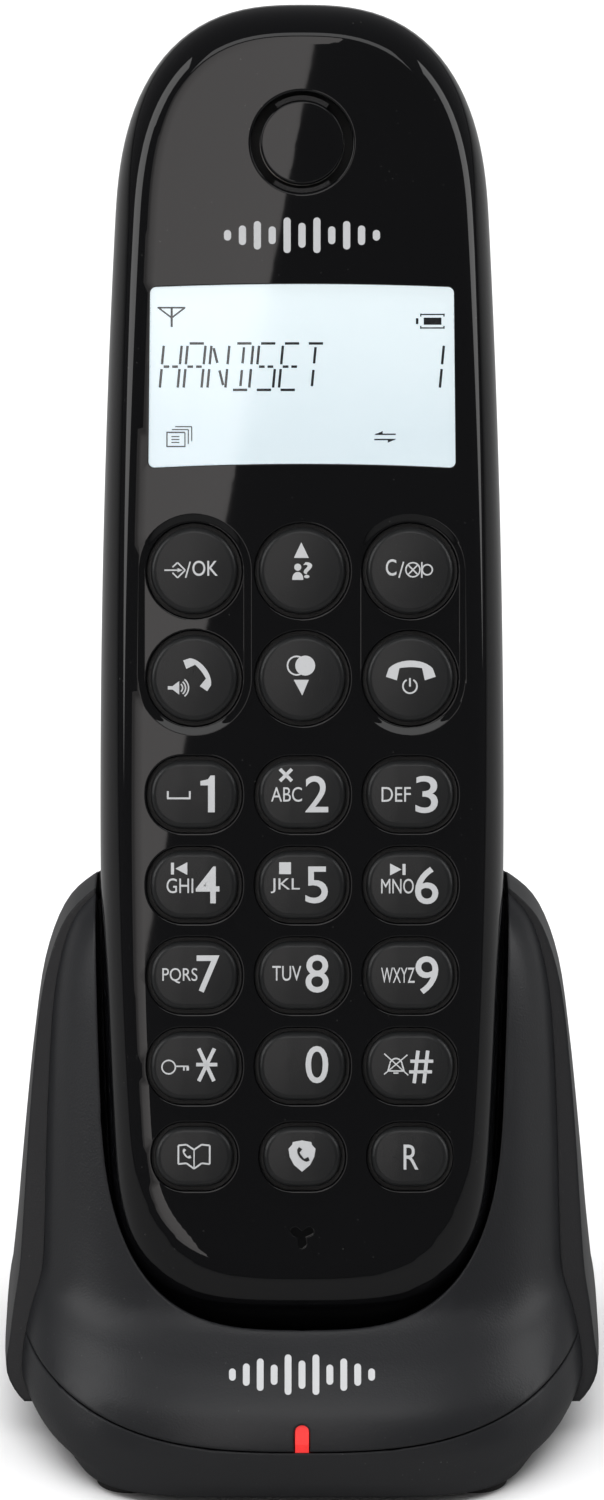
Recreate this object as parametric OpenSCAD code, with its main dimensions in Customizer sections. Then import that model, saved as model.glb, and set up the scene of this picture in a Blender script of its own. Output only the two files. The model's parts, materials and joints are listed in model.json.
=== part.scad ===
// Cordless telephone handset standing in its charging base.
// Millimetres, +Z up, the front faces -Y. Handset pieces are drawn upright in the
// handset's own frame (face towards -Y, length along Z) and leaned back into the base.

/* [Handset] */
// Length of the handset
handset_length = 158; // [154:1:162]
// Widest part of the handset
handset_width = 48; // [47:0.5:49]
// Depth of the front case, from the parting line to the face
front_depth = 10; // [10:0.1:10.4]
// Depth of the rear case, from the parting line to the back
rear_depth = 15; // [15:0.1:15.6]
// Angle that the handset leans back in the base
lean = 22; // [21:0.5:23]

/* [Keys] */
// Distance between key columns
column_pitch = 12.75; // [12.6:0.05:12.8]
// Distance between the rows of round keys
round_pitch = 12.7; // [12.4:0.1:12.9]
// Distance between the rows of number keys
number_pitch = 10.7; // [10.5:0.1:10.8]
// Height of the lowest key row above the handset's end
first_row = 21.3; // [21:0.1:21.6]
// How far a key goes down when pressed
key_travel = 0.8; // [0.5:0.1:0.8]

/* [Base] */
// Clearance between the handset and the pocket it stands in
pocket_gap = 0.7; // [0.6:0.1:0.9]
// Wall thickness of the base mouldings
base_wall = 2; // [1.8:0.1:2.2]
// Height of the front seam between the bottom tray and the front shell
seam_height = 7.5; // [7.4:0.1:7.8]

/* [Hidden] */

$fn = 48;
// The frame's origin is under the middle of the whole object.
frame_y = -11.17;
eps = 0.01;

// Where the handset's frame sits in the base: the parting line at its lower end.
seat_y = -13.69;
seat_z = 13.45;

// Handset outline
widest_height = 63;
low_narrowing = 2.4;
high_narrowing = 3.3;
end_corner = 24;
end_power = 3.1;
crown_height = 26;
crown_power = 2.65;
arc_steps = 14;
side_steps = 14;

// Case walls and rounding
face_wall = 1.8;
back_wall = 2.4;
side_wall = 2.2;
parting_gap = 0.1;
face_round = 5.2;
back_round = 9;
round_power = 2.2;
round_steps = 7;

// Stations along the handset
mic_height = 11.7;
display_height = 113.6;
display_size = [36.6, 22.2];
lcd_size = [38.2, 24.6];
earpiece_height = 141.2;
speaker_radius = 7.5;
board_front = -3.2;
board_back = -2;
screw_spots = [[14, 10], [-14, 10], [15.5, 130], [-15.5, 130]];
handset_screw_seat = 8.05;

// Battery bay and its door
cell_radius = 5.2;
cell_length = 43.6;
cell_spacing = 10.8;
cell_low = 72.6;
cell_y = 7.85;
bay = [22.4, 66, 118];
bay_wall = 1.2;
bay_floor = 2.2;
door = [26, 64, 120];
door_thick = 1.6;
door_travel = 8;

// Charging contacts
contact_x = 7;
contact_y = 3.5;

// Key table: name, column, height, shape (0 round, 1 number, 2 small)
number_rows = [for (r = [4, 3, 2, 1, 0]) first_row + r * number_pitch];
round_rows = [for (r = [1, 0]) number_rows[0] + 13.75 + r * round_pitch];
KEYS = [
    ["key_menu_ok", -1, round_rows[0], 0], ["key_up", 0, round_rows[0], 0],
    ["key_clear_mute", 1, round_rows[0], 0],
    ["key_talk", -1, round_rows[1], 0], ["key_down", 0, round_rows[1], 0],
    ["key_end_power", 1, round_rows[1], 0],
    ["key_1", -1, number_rows[0], 1], ["key_2", 0, number_rows[0], 1],
    ["key_3", 1, number_rows[0], 1],
    ["key_4", -1, number_rows[1], 1], ["key_5", 0, number_rows[1], 1],
    ["key_6", 1, number_rows[1], 1],
    ["key_7", -1, number_rows[2], 1], ["key_8", 0, number_rows[2], 1],
    ["key_9", 1, number_rows[2], 1],
    ["key_star", -1, number_rows[3], 1], ["key_0", 0, number_rows[3], 1],
    ["key_hash", 1, number_rows[3], 1],
    ["key_phonebook", -1, number_rows[4], 2], ["key_call_block", 0, number_rows[4], 2],
    ["key_recall", 1, number_rows[4], 2]];

// Cap sizes by shape: width, height, corner radius
CAPS = [[10.3, 10.3, 5.15], [10.3, 8.1, 3.8], [9.2, 7.1, 3.4]];
key_gap = 0.45;
key_rise = 0.9;
flange_extra = 0.75;
plunger_radius = 1.2;

// Base stations, bottom to top:
// front y, z; back y, z; half width of front shell, of rear shell; front power
STATIONS = [
    [-33.3, 1.2, 33.4, 1.2, 27.6, 27.6, 5],
    [-33.9, 2.6, 34.8, 2.6, 29.6, 29.9, 4],
    [-34.2, 4.2, 36.2, 4.2, 32.6, 33.5, 3.2],
    [-34.3, 7.5, 37.5, 7.5, 34.4, 35.6, 2.8],
    [-32.5, 11.4, 37.2, 11.4, 34.2, 35.2, 2.7],
    [-28.5, 15.2, 36.7, 14.8, 33.8, 34.8, 2.6],
    [-23.8, 19.0, 36.1, 18.4, 33.4, 34.4, 2.5],
    [-20.6, 24.6, 34.9, 24.0, 32.9, 33.9, 2.5],
    [-17.2, 32.6, 33.2, 31.2, 32.2, 33.2, 2.5],
    [-13.4, 41.8, 31.3, 39.4, 31.3, 32.3, 2.5],
    [-9.4, 51.6, 29.2, 48.2, 30.0, 31.0, 2.5],
    [-6.4, 58.6, 27.7, 54.4, 28.0, 28.8, 2.5],
    [-4.4, 62.4, 26.7, 57.4, 25.3, 25.9, 2.5],
    [-2.6, 65.0, 25.5, 59.4, 21.7, 22.1, 2.5],
    [-0.2, 66.6, 24.0, 60.6, 16.6, 16.9, 2.5],
    [3.0, 67.3, 22.2, 61.1, 9.9, 10.0, 2.5]];
cheek_power = 3.6;
back_power = 4;
ring_points = 64;
split_y = 3;
reveal = 0.45;
// The front seam climbs towards the cheeks; the cheeks end lower down.
seam_climb = 4.1;
seam_reach = 31.5;
seam_power = 2.9;
cheek_bottom = 4.3;
joint_gap = 0.12;
light_low = seam_height - 0.05;
light_arch = 2.2;

// Base board, sockets, feet and screws
base_board_z = 3.6;
base_board_top = 5.2;
jack_x = 14;
jack_back = 32.7;
jack_z = 11.6;
foot_spots = [[20.5, -26], [-20.5, -26], [20.5, 26], [-20.5, 26]];
foot_radius = 3.8;
front_screws = [[13, -26], [-13, -26]];
rear_screws = [[26, 14], [-26, 14]];
base_screw_spots = concat(front_screws, rear_screws);
screw_seat = 5;
boss_top = 6.8;

// ---------- shared geometry ----------

function half_width(z) = handset_width / 2 - (z < widest_height
    ? low_narrowing * pow((widest_height - z) / widest_height, 2)
    : high_narrowing * pow((z - widest_height) / (handset_length - widest_height), 2));

// Right-hand side of the handset's outline, from the middle of its end to its top.
function outline_right() = let (
    p = 2 / end_power,
    q = 2 / crown_power,
    crown_start = handset_length - crown_height) concat(
    [for (i = [0 : arc_steps]) let (
        a = 90 * i / arc_steps,
        z = end_corner * (1 - pow(cos(a), p)))
        [half_width(z) * pow(sin(a), p), z]],
    [for (i = [1 : side_steps - 1]) let (
        z = end_corner + (crown_start - end_corner) * i / side_steps)
        [half_width(z), z]],
    [for (i = [0 : arc_steps]) let (
        a = 90 * i / arc_steps,
        z = crown_start + crown_height * pow(sin(a), q))
        [half_width(z) * pow(cos(a), q), z]]);

right_side = outline_right();
side_count = len(right_side);
OUTLINE = concat(right_side,
    [for (i = [side_count - 2 : -1 : 1]) [-right_side[i][0], right_side[i][1]]]);

function wrap(i, n) = (i + n) % n;
function outward(pts, i) = let (
    n = len(pts),
    t = pts[wrap(i + 1, n)] - pts[wrap(i - 1, n)])
    [t[1], -t[0]] / norm(t);
// The outline moved inwards by d, or outwards where d is below zero.
function inset(pts, d) = [for (i = [0 : len(pts) - 1]) pts[i] - d * outward(pts, i)];
function ring_at(pts, y) = [for (p = pts) [p[0], y, p[1]]];

// Quarter of a soft edge: how far in and how deep, both from 0 to 1.
function soft_in(k) = 1 - pow(cos(90 * k / round_steps), 2 / round_power);
function soft_deep(k) = pow(sin(90 * k / round_steps), 2 / round_power);

module loft(rings) {
    n = len(rings[0]);
    last = len(rings) - 1;
    polyhedron(
        points = [for (r = rings) each r],
        faces = concat(
            [[for (i = [0 : n - 1]) i]],
            [for (k = [0 : last - 1]) for (i = [0 : n - 1]) let (j = (i + 1) % n)
                [k * n + i, (k + 1) * n + i, (k + 1) * n + j, k * n + j]],
            [[for (i = [n - 1 : -1 : 0]) last * n + i]]));
}

// A slab of the handset's plan between two depths, inset from the outline.
module slab(y0, y1, d) {
    translate([0, y1, 0]) rotate([90, 0, 0])
        linear_extrude(y1 - y0) polygon(inset(OUTLINE, d));
}

// Something drawn in the XZ plane, given depth from y0 to y1.
module deep(y0, y1) {
    translate([0, y1, 0]) rotate([90, 0, 0]) linear_extrude(y1 - y0) children();
}

// A rectangle with round corners, each an arc of corner_steps sides.
module rounded_plan(w, h, r) {
    corner_steps = 9;
    polygon([for (c = [0 : 3]) for (i = [0 : corner_steps]) let (
        a = 90 * (c + i / corner_steps),
        side = (c == 0 || c == 3) ? 1 : -1,
        end = c < 2 ? 1 : -1)
        [side * (w / 2 - r) + r * cos(a), end * (h / 2 - r) + r * sin(a)]]);
}

module box_between(low, high) {
    translate(low) cube(high - low);
}

module rod_y(x, z, r, y0, y1) {
    translate([x, y1, z]) rotate([90, 0, 0]) cylinder(r = r, h = y1 - y0);
}

module rod_z(x, y, r, z0, z1) {
    translate([x, y, z0]) cylinder(r = r, h = z1 - z0);
}

module in_handset() {
    translate([0, seat_y, seat_z]) rotate([-lean, 0, 0]) children();
}

module key_plan(shape, grow) {
    c = CAPS[shape];
    if (shape == 0) circle(c[2] + grow);
    else rounded_plan(c[0] + 2 * grow, c[1] + 2 * grow, c[2] + grow);
}

// ---------- handset ----------

module front_case() {
    cavity_step = -5.2;
    color([0.03, 0.03, 0.03]) difference() {
        loft(concat(
            [ring_at(OUTLINE, -parting_gap)],
            [for (k = [0 : round_steps]) ring_at(inset(OUTLINE, face_round * soft_in(k)),
                -2 - (front_depth - 2) * soft_deep(k))]));
        slab(cavity_step, 1, side_wall);
        slab(-front_depth + face_wall, cavity_step + eps, 3.9);
        // seat for the display glass
        deep(-8.4, cavity_step + eps) translate([0, display_height])
            square(lcd_size + [0.4, 0.4], center = true);
        // window opening
        deep(-front_depth - 1, -8) translate([0, display_height])
            square(display_size + [0.3, 0.3], center = true);
        for (k = KEYS) key_hole(k);
        rod_y(0, earpiece_height, 6, -front_depth - 1, -8);
        deep(-front_depth - 1, -8) translate([0, mic_height]) trefoil();
    }
    // screw posts
    color([0.03, 0.03, 0.03]) for (s = screw_spots) difference() {
        rod_y(s[0], s[1], 2.6, -front_depth + face_wall - eps, -0.3);
        rod_y(s[0], s[1], 1.05, -front_depth + face_wall + 0.6, 1);
    }
}

module key_hole(k) {
    dish = 0.55;
    translate([k[1] * column_pitch, 0, k[2]]) {
        deep(-front_depth - 1, -8) key_plan(k[3], key_gap);
        deep(-front_depth - 1, -front_depth + dish) key_plan(k[3], key_gap + 0.35);
    }
}

module trefoil() {
    lobe = 0.75;
    for (a = [90 : 120 : 330]) rotate(180 + a) {
        translate([1.25, 0]) circle(lobe);
        translate([0, -0.5]) square([1.25, 1]);
    }
}

module rear_case() {
    color([0.06, 0.06, 0.06]) difference() {
        union() {
            difference() {
                loft(concat(
                    [for (k = [round_steps : -1 : 0])
                        ring_at(inset(OUTLINE, back_round * soft_in(k)),
                            3 + (rear_depth - 3) * soft_deep(k))],
                    [ring_at(OUTLINE, 0)]));
                slab(-1, 6, side_wall);
                slab(6 - eps, rear_depth - back_wall, 6.6);
            }
            // battery bay box
            box_between([-bay[0] / 2 - bay_wall, bay_floor - bay_wall, bay[1] - bay_wall],
                [bay[0] / 2 + bay_wall, rear_depth - back_wall + eps, bay[2] + bay_wall]);
            for (s = screw_spots)
                rod_y(s[0], s[1], 3.2, 0.1, rear_depth - back_wall + eps);
        }
        box_between([-bay[0] / 2, bay_floor, bay[1]], [bay[0] / 2, rear_depth + 1, bay[2]]);
        // the recess that the door lies and slides in, and its two side grooves
        box_between([-door[0] / 2 - 0.15, rear_depth - door_thick, door[1] - door_travel - 0.4],
            [door[0] / 2 + 0.15, rear_depth + 1, door[2] + 0.15]);
        for (s = [-1, 1]) box_between(
            [s * door[0] / 2 - 0.95, rear_depth - door_thick, door[1] - door_travel - 0.4],
            [s * door[0] / 2 + 0.95, rear_depth - 0.7, door[2] - 3.8]);
        // screws: clearance and counterbores
        for (s = screw_spots) {
            rod_y(s[0], s[1], 1.2, -1, rear_depth);
            rod_y(s[0], s[1], 2.4, handset_screw_seat, rear_depth + 1);
        }
        // charging windows in the lower end
        for (s = [-1, 1]) box_between([s * contact_x - 2.4, 1.2, -1], [s * contact_x + 2.4, 6, 1.2]);
        // ringer grille
        ringer_holes();
    }
}

module ringer_holes() {
    rod_y(0, earpiece_height, 0.8, 12, rear_depth + 1);
    for (a = [0 : 60 : 300])
        rod_y(3.2 * cos(a), earpiece_height + 3.2 * sin(a), 0.8, 12, rear_depth + 1);
}

module display_window() {
    color([0.1, 0.1, 0.1, 0.4]) deep(-front_depth, -8.7) translate([0, display_height])
        square(display_size, center = true);
}

module lcd_panel() {
    color([0.86, 0.93, 0.94]) deep(-8.3, -6.5) translate([0, display_height])
        square(lcd_size, center = true);
}

module lcd_backlight() {
    color("white") deep(-6.4, -3.3) translate([0, display_height])
        square(lcd_size - [0.4, 0.4], center = true);
}

module earpiece_insert() {
    color([0.04, 0.04, 0.04]) {
        rod_y(0, earpiece_height, 4.95, -9.95, -7.6);
        difference() {
            rod_y(0, earpiece_height, 7.2, -8.15, -7.6);
            rod_y(0, earpiece_height, 5.75, -9, -7);
        }
        for (a = [45 : 90 : 315]) translate([0, 0, earpiece_height]) rotate([0, a, 0])
            box_between([4.5, -9.3, -0.4], [5.85, -7.6, 0.4]);
    }
}

module earpiece_gasket() {
    color("dimgray") difference() {
        rod_y(0, earpiece_height, 7.1, -7.55, -7);
        rod_y(0, earpiece_height, 5, -8, -6);
    }
}

module earpiece_speaker() {
    color("silver") union() {
        rod_y(0, earpiece_height, speaker_radius, -6.95, -4.6);
        rod_y(0, earpiece_height, 5, -4.7, board_front - 0.1);
    }
}

module microphone() {
    color([0.15, 0.15, 0.15]) union() {
        rod_y(0, mic_height, 3.2, -8.1, -6.9);
        rod_y(0, mic_height, 2.4, -7, board_front - 0.1);
    }
}

module handset_board() {
    color("darkgreen") difference() {
        slab(board_front, board_back, 3);
        for (s = screw_spots) rod_y(s[0], s[1], 3.4, -5, 0);
    }
}

module handset_radio_can() {
    color("gainsboro") box_between([-9, board_back + 0.02, 96], [9, 0.6, 112]);
}

module keypad_mat() {
    color("lightgray") difference() {
        box_between([-16.6, -6.15, 14.4], [16.6, -5.4, number_rows[0] + 33.4]);
        for (k = KEYS) rod_y(k[1] * column_pitch, k[2], 2.1, -7, -5);
    }
}

module key_domes() {
    color("silver") for (k = KEYS)
        rod_y(k[1] * column_pitch, k[2], 2.2, board_front - 0.4, board_front - 0.02);
}

module key(k) {
    top = -front_depth - key_rise;
    under = -front_depth + face_wall + 0.3;
    color([0.17, 0.18, 0.19]) translate([k[1] * column_pitch, 0, k[2]]) {
        deep(top + 0.5, under + eps) key_plan(k[3], 0);
        deep(top, top + 0.5 + eps) key_plan(k[3], -0.5);
        deep(under, under + 0.8) key_plan(k[3], flange_extra);
        rod_y(0, 0, plunger_radius, under + 0.8 - eps, board_front - 0.5 - key_travel);
    }
}

module ringer_speaker() {
    color("silver") union() {
        rod_y(0, earpiece_height, 9.5, 7, 10);
        rod_y(0, earpiece_height, 8, 9.9, 12.4);
    }
}

module turned_about_bay() {
    translate([0, 0, bay[1] + bay[2]]) mirror([0, 0, 1]) children();
}

module battery_cell() {
    color("seagreen") translate([-cell_spacing / 2, cell_y, cell_low]) {
        cylinder(r = cell_radius, h = cell_length);
        cylinder(r = 1.9, h = cell_length + 0.8);
    }
}

// A conical spring, wound from wire of a six-sided section.
module contact_spring() {
    turns = 3;
    steps = 12;
    wire = 0.35;
    wide = 3.8;
    narrow = 2.5;
    rise = 4.6;
    translate([-cell_spacing / 2, cell_y, bay[1] + 0.5]) loft(
        [for (i = [0 : turns * steps]) let (
            a = 360 * i / steps,
            part = i / (turns * steps),
            r = wide + (narrow - wide) * part)
            [for (b = [300 : -60 : 0]) let (rr = r + wire * cos(b))
                [rr * cos(a), rr * sin(a), rise * part + wire * sin(b)]]]);
}

module contact_plate() {
    translate([-cell_spacing / 2, cell_y, bay[2] - 0.3]) cube([8, 8, 0.5], center = true);
}

module battery_springs() {
    color("silver") {
        contact_spring();
        translate([cell_spacing, 0, 0]) turned_about_bay() contact_spring();
    }
}

module battery_plates() {
    color("silver") {
        contact_plate();
        translate([cell_spacing, 0, 0]) turned_about_bay() contact_plate();
    }
}

module charge_pads() {
    color("gold") for (s = [-1, 1])
        box_between([s * contact_x - 2.3, 1.3, 0.35], [s * contact_x + 2.3, 5.9, 1.1]);
}

module handset_screws() {
    color("silver") for (s = screw_spots) {
        rod_y(s[0], s[1], 1, -7, handset_screw_seat + 0.15);
        difference() {
            rod_y(s[0], s[1], 2.2, handset_screw_seat + 0.05, handset_screw_seat + 1.45);
            for (a = [0, 90]) translate([s[0], handset_screw_seat + 0.95, s[1]]) rotate([0, a, 0])
                box_between([-1.3, 0, -0.25], [1.3, 1, 0.25]);
        }
    }
}

module battery_door() {
    color([0.06, 0.06, 0.06]) {
        difference() {
            box_between([-door[0] / 2, rear_depth - door_thick + 0.05, door[1]],
                [door[0] / 2, rear_depth, door[2]]);
            // thumb grip
            for (i = [0 : 4]) box_between([-6, rear_depth - 0.4, door[1] + 5 + i * 1.8],
                [6, rear_depth + 1, door[1] + 5.8 + i * 1.8]);
        }
        for (s = [-1, 1]) box_between(
            [s * door[0] / 2 - 0.75, rear_depth - door_thick + 0.1, door[1] + 2],
            [s * door[0] / 2 + 0.75, rear_depth - 0.85, door[2] - 4]);
    }
}

// ---------- base ----------

// One closed ring through the front and back points of a station. The last two
// arguments are the half width and the power of its front half.
function base_ring(s, w, power) = let (
    front = [s[0], s[1]],
    back = [s[2], s[3]],
    middle = (front + back) / 2,
    half = (back - front) / 2)
    [for (i = [0 : ring_points - 1]) let (
        a = 360 * i / ring_points,
        p = 2 / (sin(a) < 0 ? power : back_power),
        x = w * sign(cos(a)) * pow(abs(cos(a)), p),
        m = middle + half * sign(sin(a)) * pow(abs(sin(a)), p))
        [x, m[0], m[1]]];

// A station drawn in by d at the front and the back, and lowered by drop.
function drawn_in(s, d, drop = 0) = [s[0] + d, s[1] - drop, s[2] - d, s[3] - drop, s[4] - d, s[5] - d, s[6]];

// The outside of the front shell and tray, drawn in by d.
module front_outside(d) {
    loft([for (s = STATIONS) let (t = drawn_in(s, d)) base_ring(t, t[4], t[6])]);
}

// The outside of the rear shell, with its cheeks standing a little proud.
module rear_outside(d) {
    loft([for (s = STATIONS) let (t = drawn_in(s, d)) base_ring(t, t[5], max(t[6], cheek_power))]);
}

// The hollow inside the walls.
module base_inside(wall) {
    top = len(STATIONS) - 4;
    floor_top = STATIONS[0][1] + 1.6;
    difference() {
        loft([for (i = [0 : top]) let (t = drawn_in(STATIONS[i], wall, i == top ? 1 : 0))
            base_ring(t, t[4] - (i == top ? 1.5 : 0), t[6])]);
        slab_between(-1, floor_top);
    }
}

module slab_between(z0, z1) {
    translate([-60, -60, z0]) cube([120, 120, z1 - z0]);
}

// Everything over the front seam, raised by lift.
module over_front_seam(lift) {
    steps = 12;
    edge = 38;
    translate([0, 60, 0]) rotate([90, 0, 0]) linear_extrude(120) polygon(concat(
        [for (i = [-steps : steps]) let (x = edge * i / steps)
            [x, lift + seam_height + seam_climb * pow(abs(x) / seam_reach, seam_power)]],
        [[edge, 100], [-edge, 100]]));
}

module pocket(d, back) {
    in_handset() slab(-40, back, -d);
}

module behind_split(y) {
    in_handset() translate([-60, y, -60]) cube([120, 80, 200]);
}

module bosses(spots, top) {
    for (s = spots) rod_z(s[0], s[1], 3.3, boss_top + joint_gap, top);
}

module screw_pilots(spots) {
    for (s = spots) rod_z(s[0], s[1], 1.05, 0, boss_top + 9);
}

module base_front_shell() {
    tub_wall = 1.8;
    back = rear_depth + pocket_gap;
    color([0.2, 0.2, 0.21]) difference() {
        union() {
            intersection() {
                difference() {
                    front_outside(0);
                    base_inside(base_wall);
                    behind_split(split_y);
                }
                over_front_seam(joint_gap);
            }
            // the tub that the handset stands in
            intersection() {
                pocket(pocket_gap + tub_wall, back + tub_wall);
                tub_room();
                slab_between(boss_top + 1, 100);
            }
            intersection() {
                bosses(front_screws, 14);
                front_outside(0.5);
            }
        }
        pocket(pocket_gap, back);
        for (s = [-1, 1]) in_handset()
            box_between([s * contact_x - 1.3, 2.1, -6], [s * contact_x + 1.3, 4.9, 1]);
        screw_pilots(front_screws);
        status_light_hole();
    }
}

// The tub keeps clear of the rear shell's walls; in front it joins the front wall.
module tub_room() {
    union() {
        base_inside(base_wall + 0.25);
        difference() {
            front_outside(0.4);
            behind_split(split_y);
        }
    }
}

module base_rear_shell() {
    color([0.2, 0.2, 0.21]) difference() {
        union() {
            intersection() {
                difference() {
                    rear_outside(0);
                    base_inside(base_wall);
                }
                behind_split(split_y + reveal);
                slab_between(cheek_bottom, 100);
            }
            intersection() {
                bosses(rear_screws, 20);
                rear_outside(0.5);
            }
        }
        pocket(pocket_gap, rear_depth + pocket_gap);
        screw_pilots(rear_screws);
        box_between([-jack_x - 5.4, 30, jack_z - 3.8], [-jack_x + 5.4, 45, jack_z + 3.8]);
        rod_y(jack_x, jack_z, 4, 30, 45);
        rod_y(0, jack_z, 3.8, 30, 45);
    }
}

module base_bottom_tray() {
    floor_top = STATIONS[0][1] + 1.6;
    color([0.18, 0.18, 0.19]) difference() {
        union() {
            difference() {
                front_outside(0);
                base_inside(base_wall);
                over_front_seam(-joint_gap);
                intersection() {
                    behind_split(split_y + reveal - 0.3);
                    slab_between(cheek_bottom - joint_gap, 100);
                }
            }
            for (x = [-18, 18]) for (y = [-16, 16])
                rod_z(x, y, 2.2, floor_top - eps, base_board_z - 0.02);
            intersection() {
                for (s = base_screw_spots) rod_z(s[0], s[1], 3.6, STATIONS[0][1], boss_top);
                front_outside(0);
                union() {
                    slab_between(0, cheek_bottom - joint_gap);
                    base_inside(base_wall + 0.2);
                }
            }
        }
        for (s = base_screw_spots) {
            rod_z(s[0], s[1], 1.2, 0, 8);
            rod_z(s[0], s[1], 2.8, 0, screw_seat);
        }
        for (s = foot_spots) rod_z(s[0], s[1], foot_radius + 0.1, 0, STATIONS[0][1] + 0.6);
        status_light_hole();
    }
}

module status_light_hole() {
    half = 0.95;
    rod_y(0, light_low + light_arch, half, -40, -28);
    box_between([-half, -40, light_low - 0.1], [half, -28, light_low + light_arch]);
}

module status_light() {
    half = 0.8;
    color("red") intersection() {
        translate([-half, 0, 0]) rotate([90, 0, 90]) linear_extrude(2 * half) polygon([
            [-28.6, light_low], [-34.2, light_low], [-34.1, light_low + 1],
            [-33.2, light_low + 2.5], [-32.9, light_low + 3], [-28.6, light_low + 3]]);
        union() {
            rod_y(0, light_low + light_arch, half, -40, -28);
            box_between([-half, -40, light_low], [half, -28, light_low + light_arch]);
        }
    }
}

module status_led() {
    color("white") box_between([-1.6, -28.4, base_board_top + 0.02], [1.6, -25.4, 7.2]);
}

module base_board() {
    color("darkgreen") difference() {
        union() {
            box_between([-22, -22, base_board_z], [22, 31, base_board_top]);
            box_between([-7, -29, base_board_z], [7, -21.9, base_board_top]);
        }
        for (s = base_screw_spots) rod_z(s[0], s[1], 4.2, 0, 8);
    }
}

module base_radio_can() {
    color("gainsboro") box_between([-9, 9, base_board_top + 0.02], [9, 22, 8]);
}

module line_jack() {
    color([0.1, 0.1, 0.1]) difference() {
        box_between([-jack_x - 6.4, 23, base_board_top + 0.02], [-jack_x + 6.4, jack_back, 17]);
        box_between([-jack_x - 4.85, 26, jack_z - 3.3], [-jack_x + 4.85, 40, jack_z + 3.3]);
        box_between([-jack_x - 1.9, 26, jack_z + 3.2], [-jack_x + 1.9, 40, jack_z + 4.5]);
    }
}

module power_jack() {
    color([0.1, 0.1, 0.1]) union() {
        difference() {
            box_between([jack_x - 4.6, 23, base_board_top + 0.02], [jack_x + 4.6, jack_back, 16.4]);
            rod_y(jack_x, jack_z, 2.75, 26, 40);
        }
        rod_y(jack_x, jack_z, 0.65, 25, jack_back - 1);
    }
}

module page_button() {
    color([0.12, 0.12, 0.12]) union() {
        rod_y(0, jack_z, 3.4, 34.4, 38.1);
        rod_y(0, jack_z, 4.4, 33.6, 34.5);
        rod_y(0, jack_z, 1.2, 31.9, 33.7);
    }
}

module page_switch() {
    color("silver") union() {
        box_between([-3, 26, base_board_top + 0.02], [3, 30, 14.6]);
        rod_y(0, jack_z, 1.5, 29.9, 31);
    }
}

// A sprung blade with a raised tip, one under each pad of the handset.
module charge_contact(s) {
    color("gold") in_handset() translate([s * contact_x, 0, 0]) {
        box_between([-0.9, 2.5, -4.2], [0.9, 4.5, 0.25]);
        box_between([-1.6, 1.6, -4.4], [1.6, 8, -3.9]);
    }
}

module base_screws() {
    color("silver") for (s = base_screw_spots) {
        rod_z(s[0], s[1], 1, screw_seat - 0.1, 14);
        difference() {
            rod_z(s[0], s[1], 2.6, screw_seat - 1.6, screw_seat - 0.05);
            for (a = [0, 90]) translate([s[0], s[1], 0]) rotate([0, 0, a])
                box_between([-1.5, -0.3, screw_seat - 2], [1.5, 0.3, screw_seat - 0.9]);
        }
    }
}

module rubber_feet() {
    color([0.1, 0.1, 0.1]) for (s = foot_spots)
        rod_z(s[0], s[1], foot_radius, 0, STATIONS[0][1] + 0.58);
}

// ---------- nodes ----------

module show(name) {
    translate([0, frame_y, 0]) children();
}

show("front_case") in_handset() front_case();
show("rear_case") in_handset() rear_case();
show("display_window") in_handset() display_window();
show("lcd_panel") in_handset() lcd_panel();
show("lcd_backlight") in_handset() lcd_backlight();
show("earpiece_insert") in_handset() earpiece_insert();
show("earpiece_gasket") in_handset() earpiece_gasket();
show("earpiece_speaker") in_handset() earpiece_speaker();
show("microphone") in_handset() microphone();
show("handset_board") in_handset() handset_board();
show("handset_radio_can") in_handset() handset_radio_can();
show("keypad_mat") in_handset() keypad_mat();
show("key_domes") in_handset() key_domes();
show("ringer_speaker") in_handset() ringer_speaker();
show("battery_cell_left") in_handset() battery_cell();
show("battery_cell_right") in_handset() translate([cell_spacing, 0, 0]) turned_about_bay() battery_cell();
show("battery_springs") in_handset() battery_springs();
show("battery_plates") in_handset() battery_plates();
show("charge_pads") in_handset() charge_pads();
show("handset_screws") in_handset() handset_screws();
show("battery_door") in_handset() battery_door();
for (k = KEYS) show(k[0]) in_handset() key(k);
show("base_front_shell") base_front_shell();
show("base_rear_shell") base_rear_shell();
show("base_bottom_tray") base_bottom_tray();
show("status_light") status_light();
show("status_led") status_led();
show("base_board") base_board();
show("base_radio_can") base_radio_can();
show("line_jack") line_jack();
show("power_jack") power_jack();
show("page_button") page_button();
show("page_switch") page_switch();
show("charge_contact_left") charge_contact(-1);
show("charge_contact_right") charge_contact(1);
show("base_screws") base_screws();
show("rubber_feet") rubber_feet();
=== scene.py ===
"""A cordless handset leaning in its charging base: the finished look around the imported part.

Handset pieces are shaped upright in millimetres, with the face towards -Y and the lower end
at height 0, then leaned back into the base. Base pieces are shaped where they stand.
"""
import json
from math import atan2, cos, copysign, pi, radians, sin

import bpy
from mathutils import Matrix, Vector
from mathutils.bvhtree import BVHTree


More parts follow.
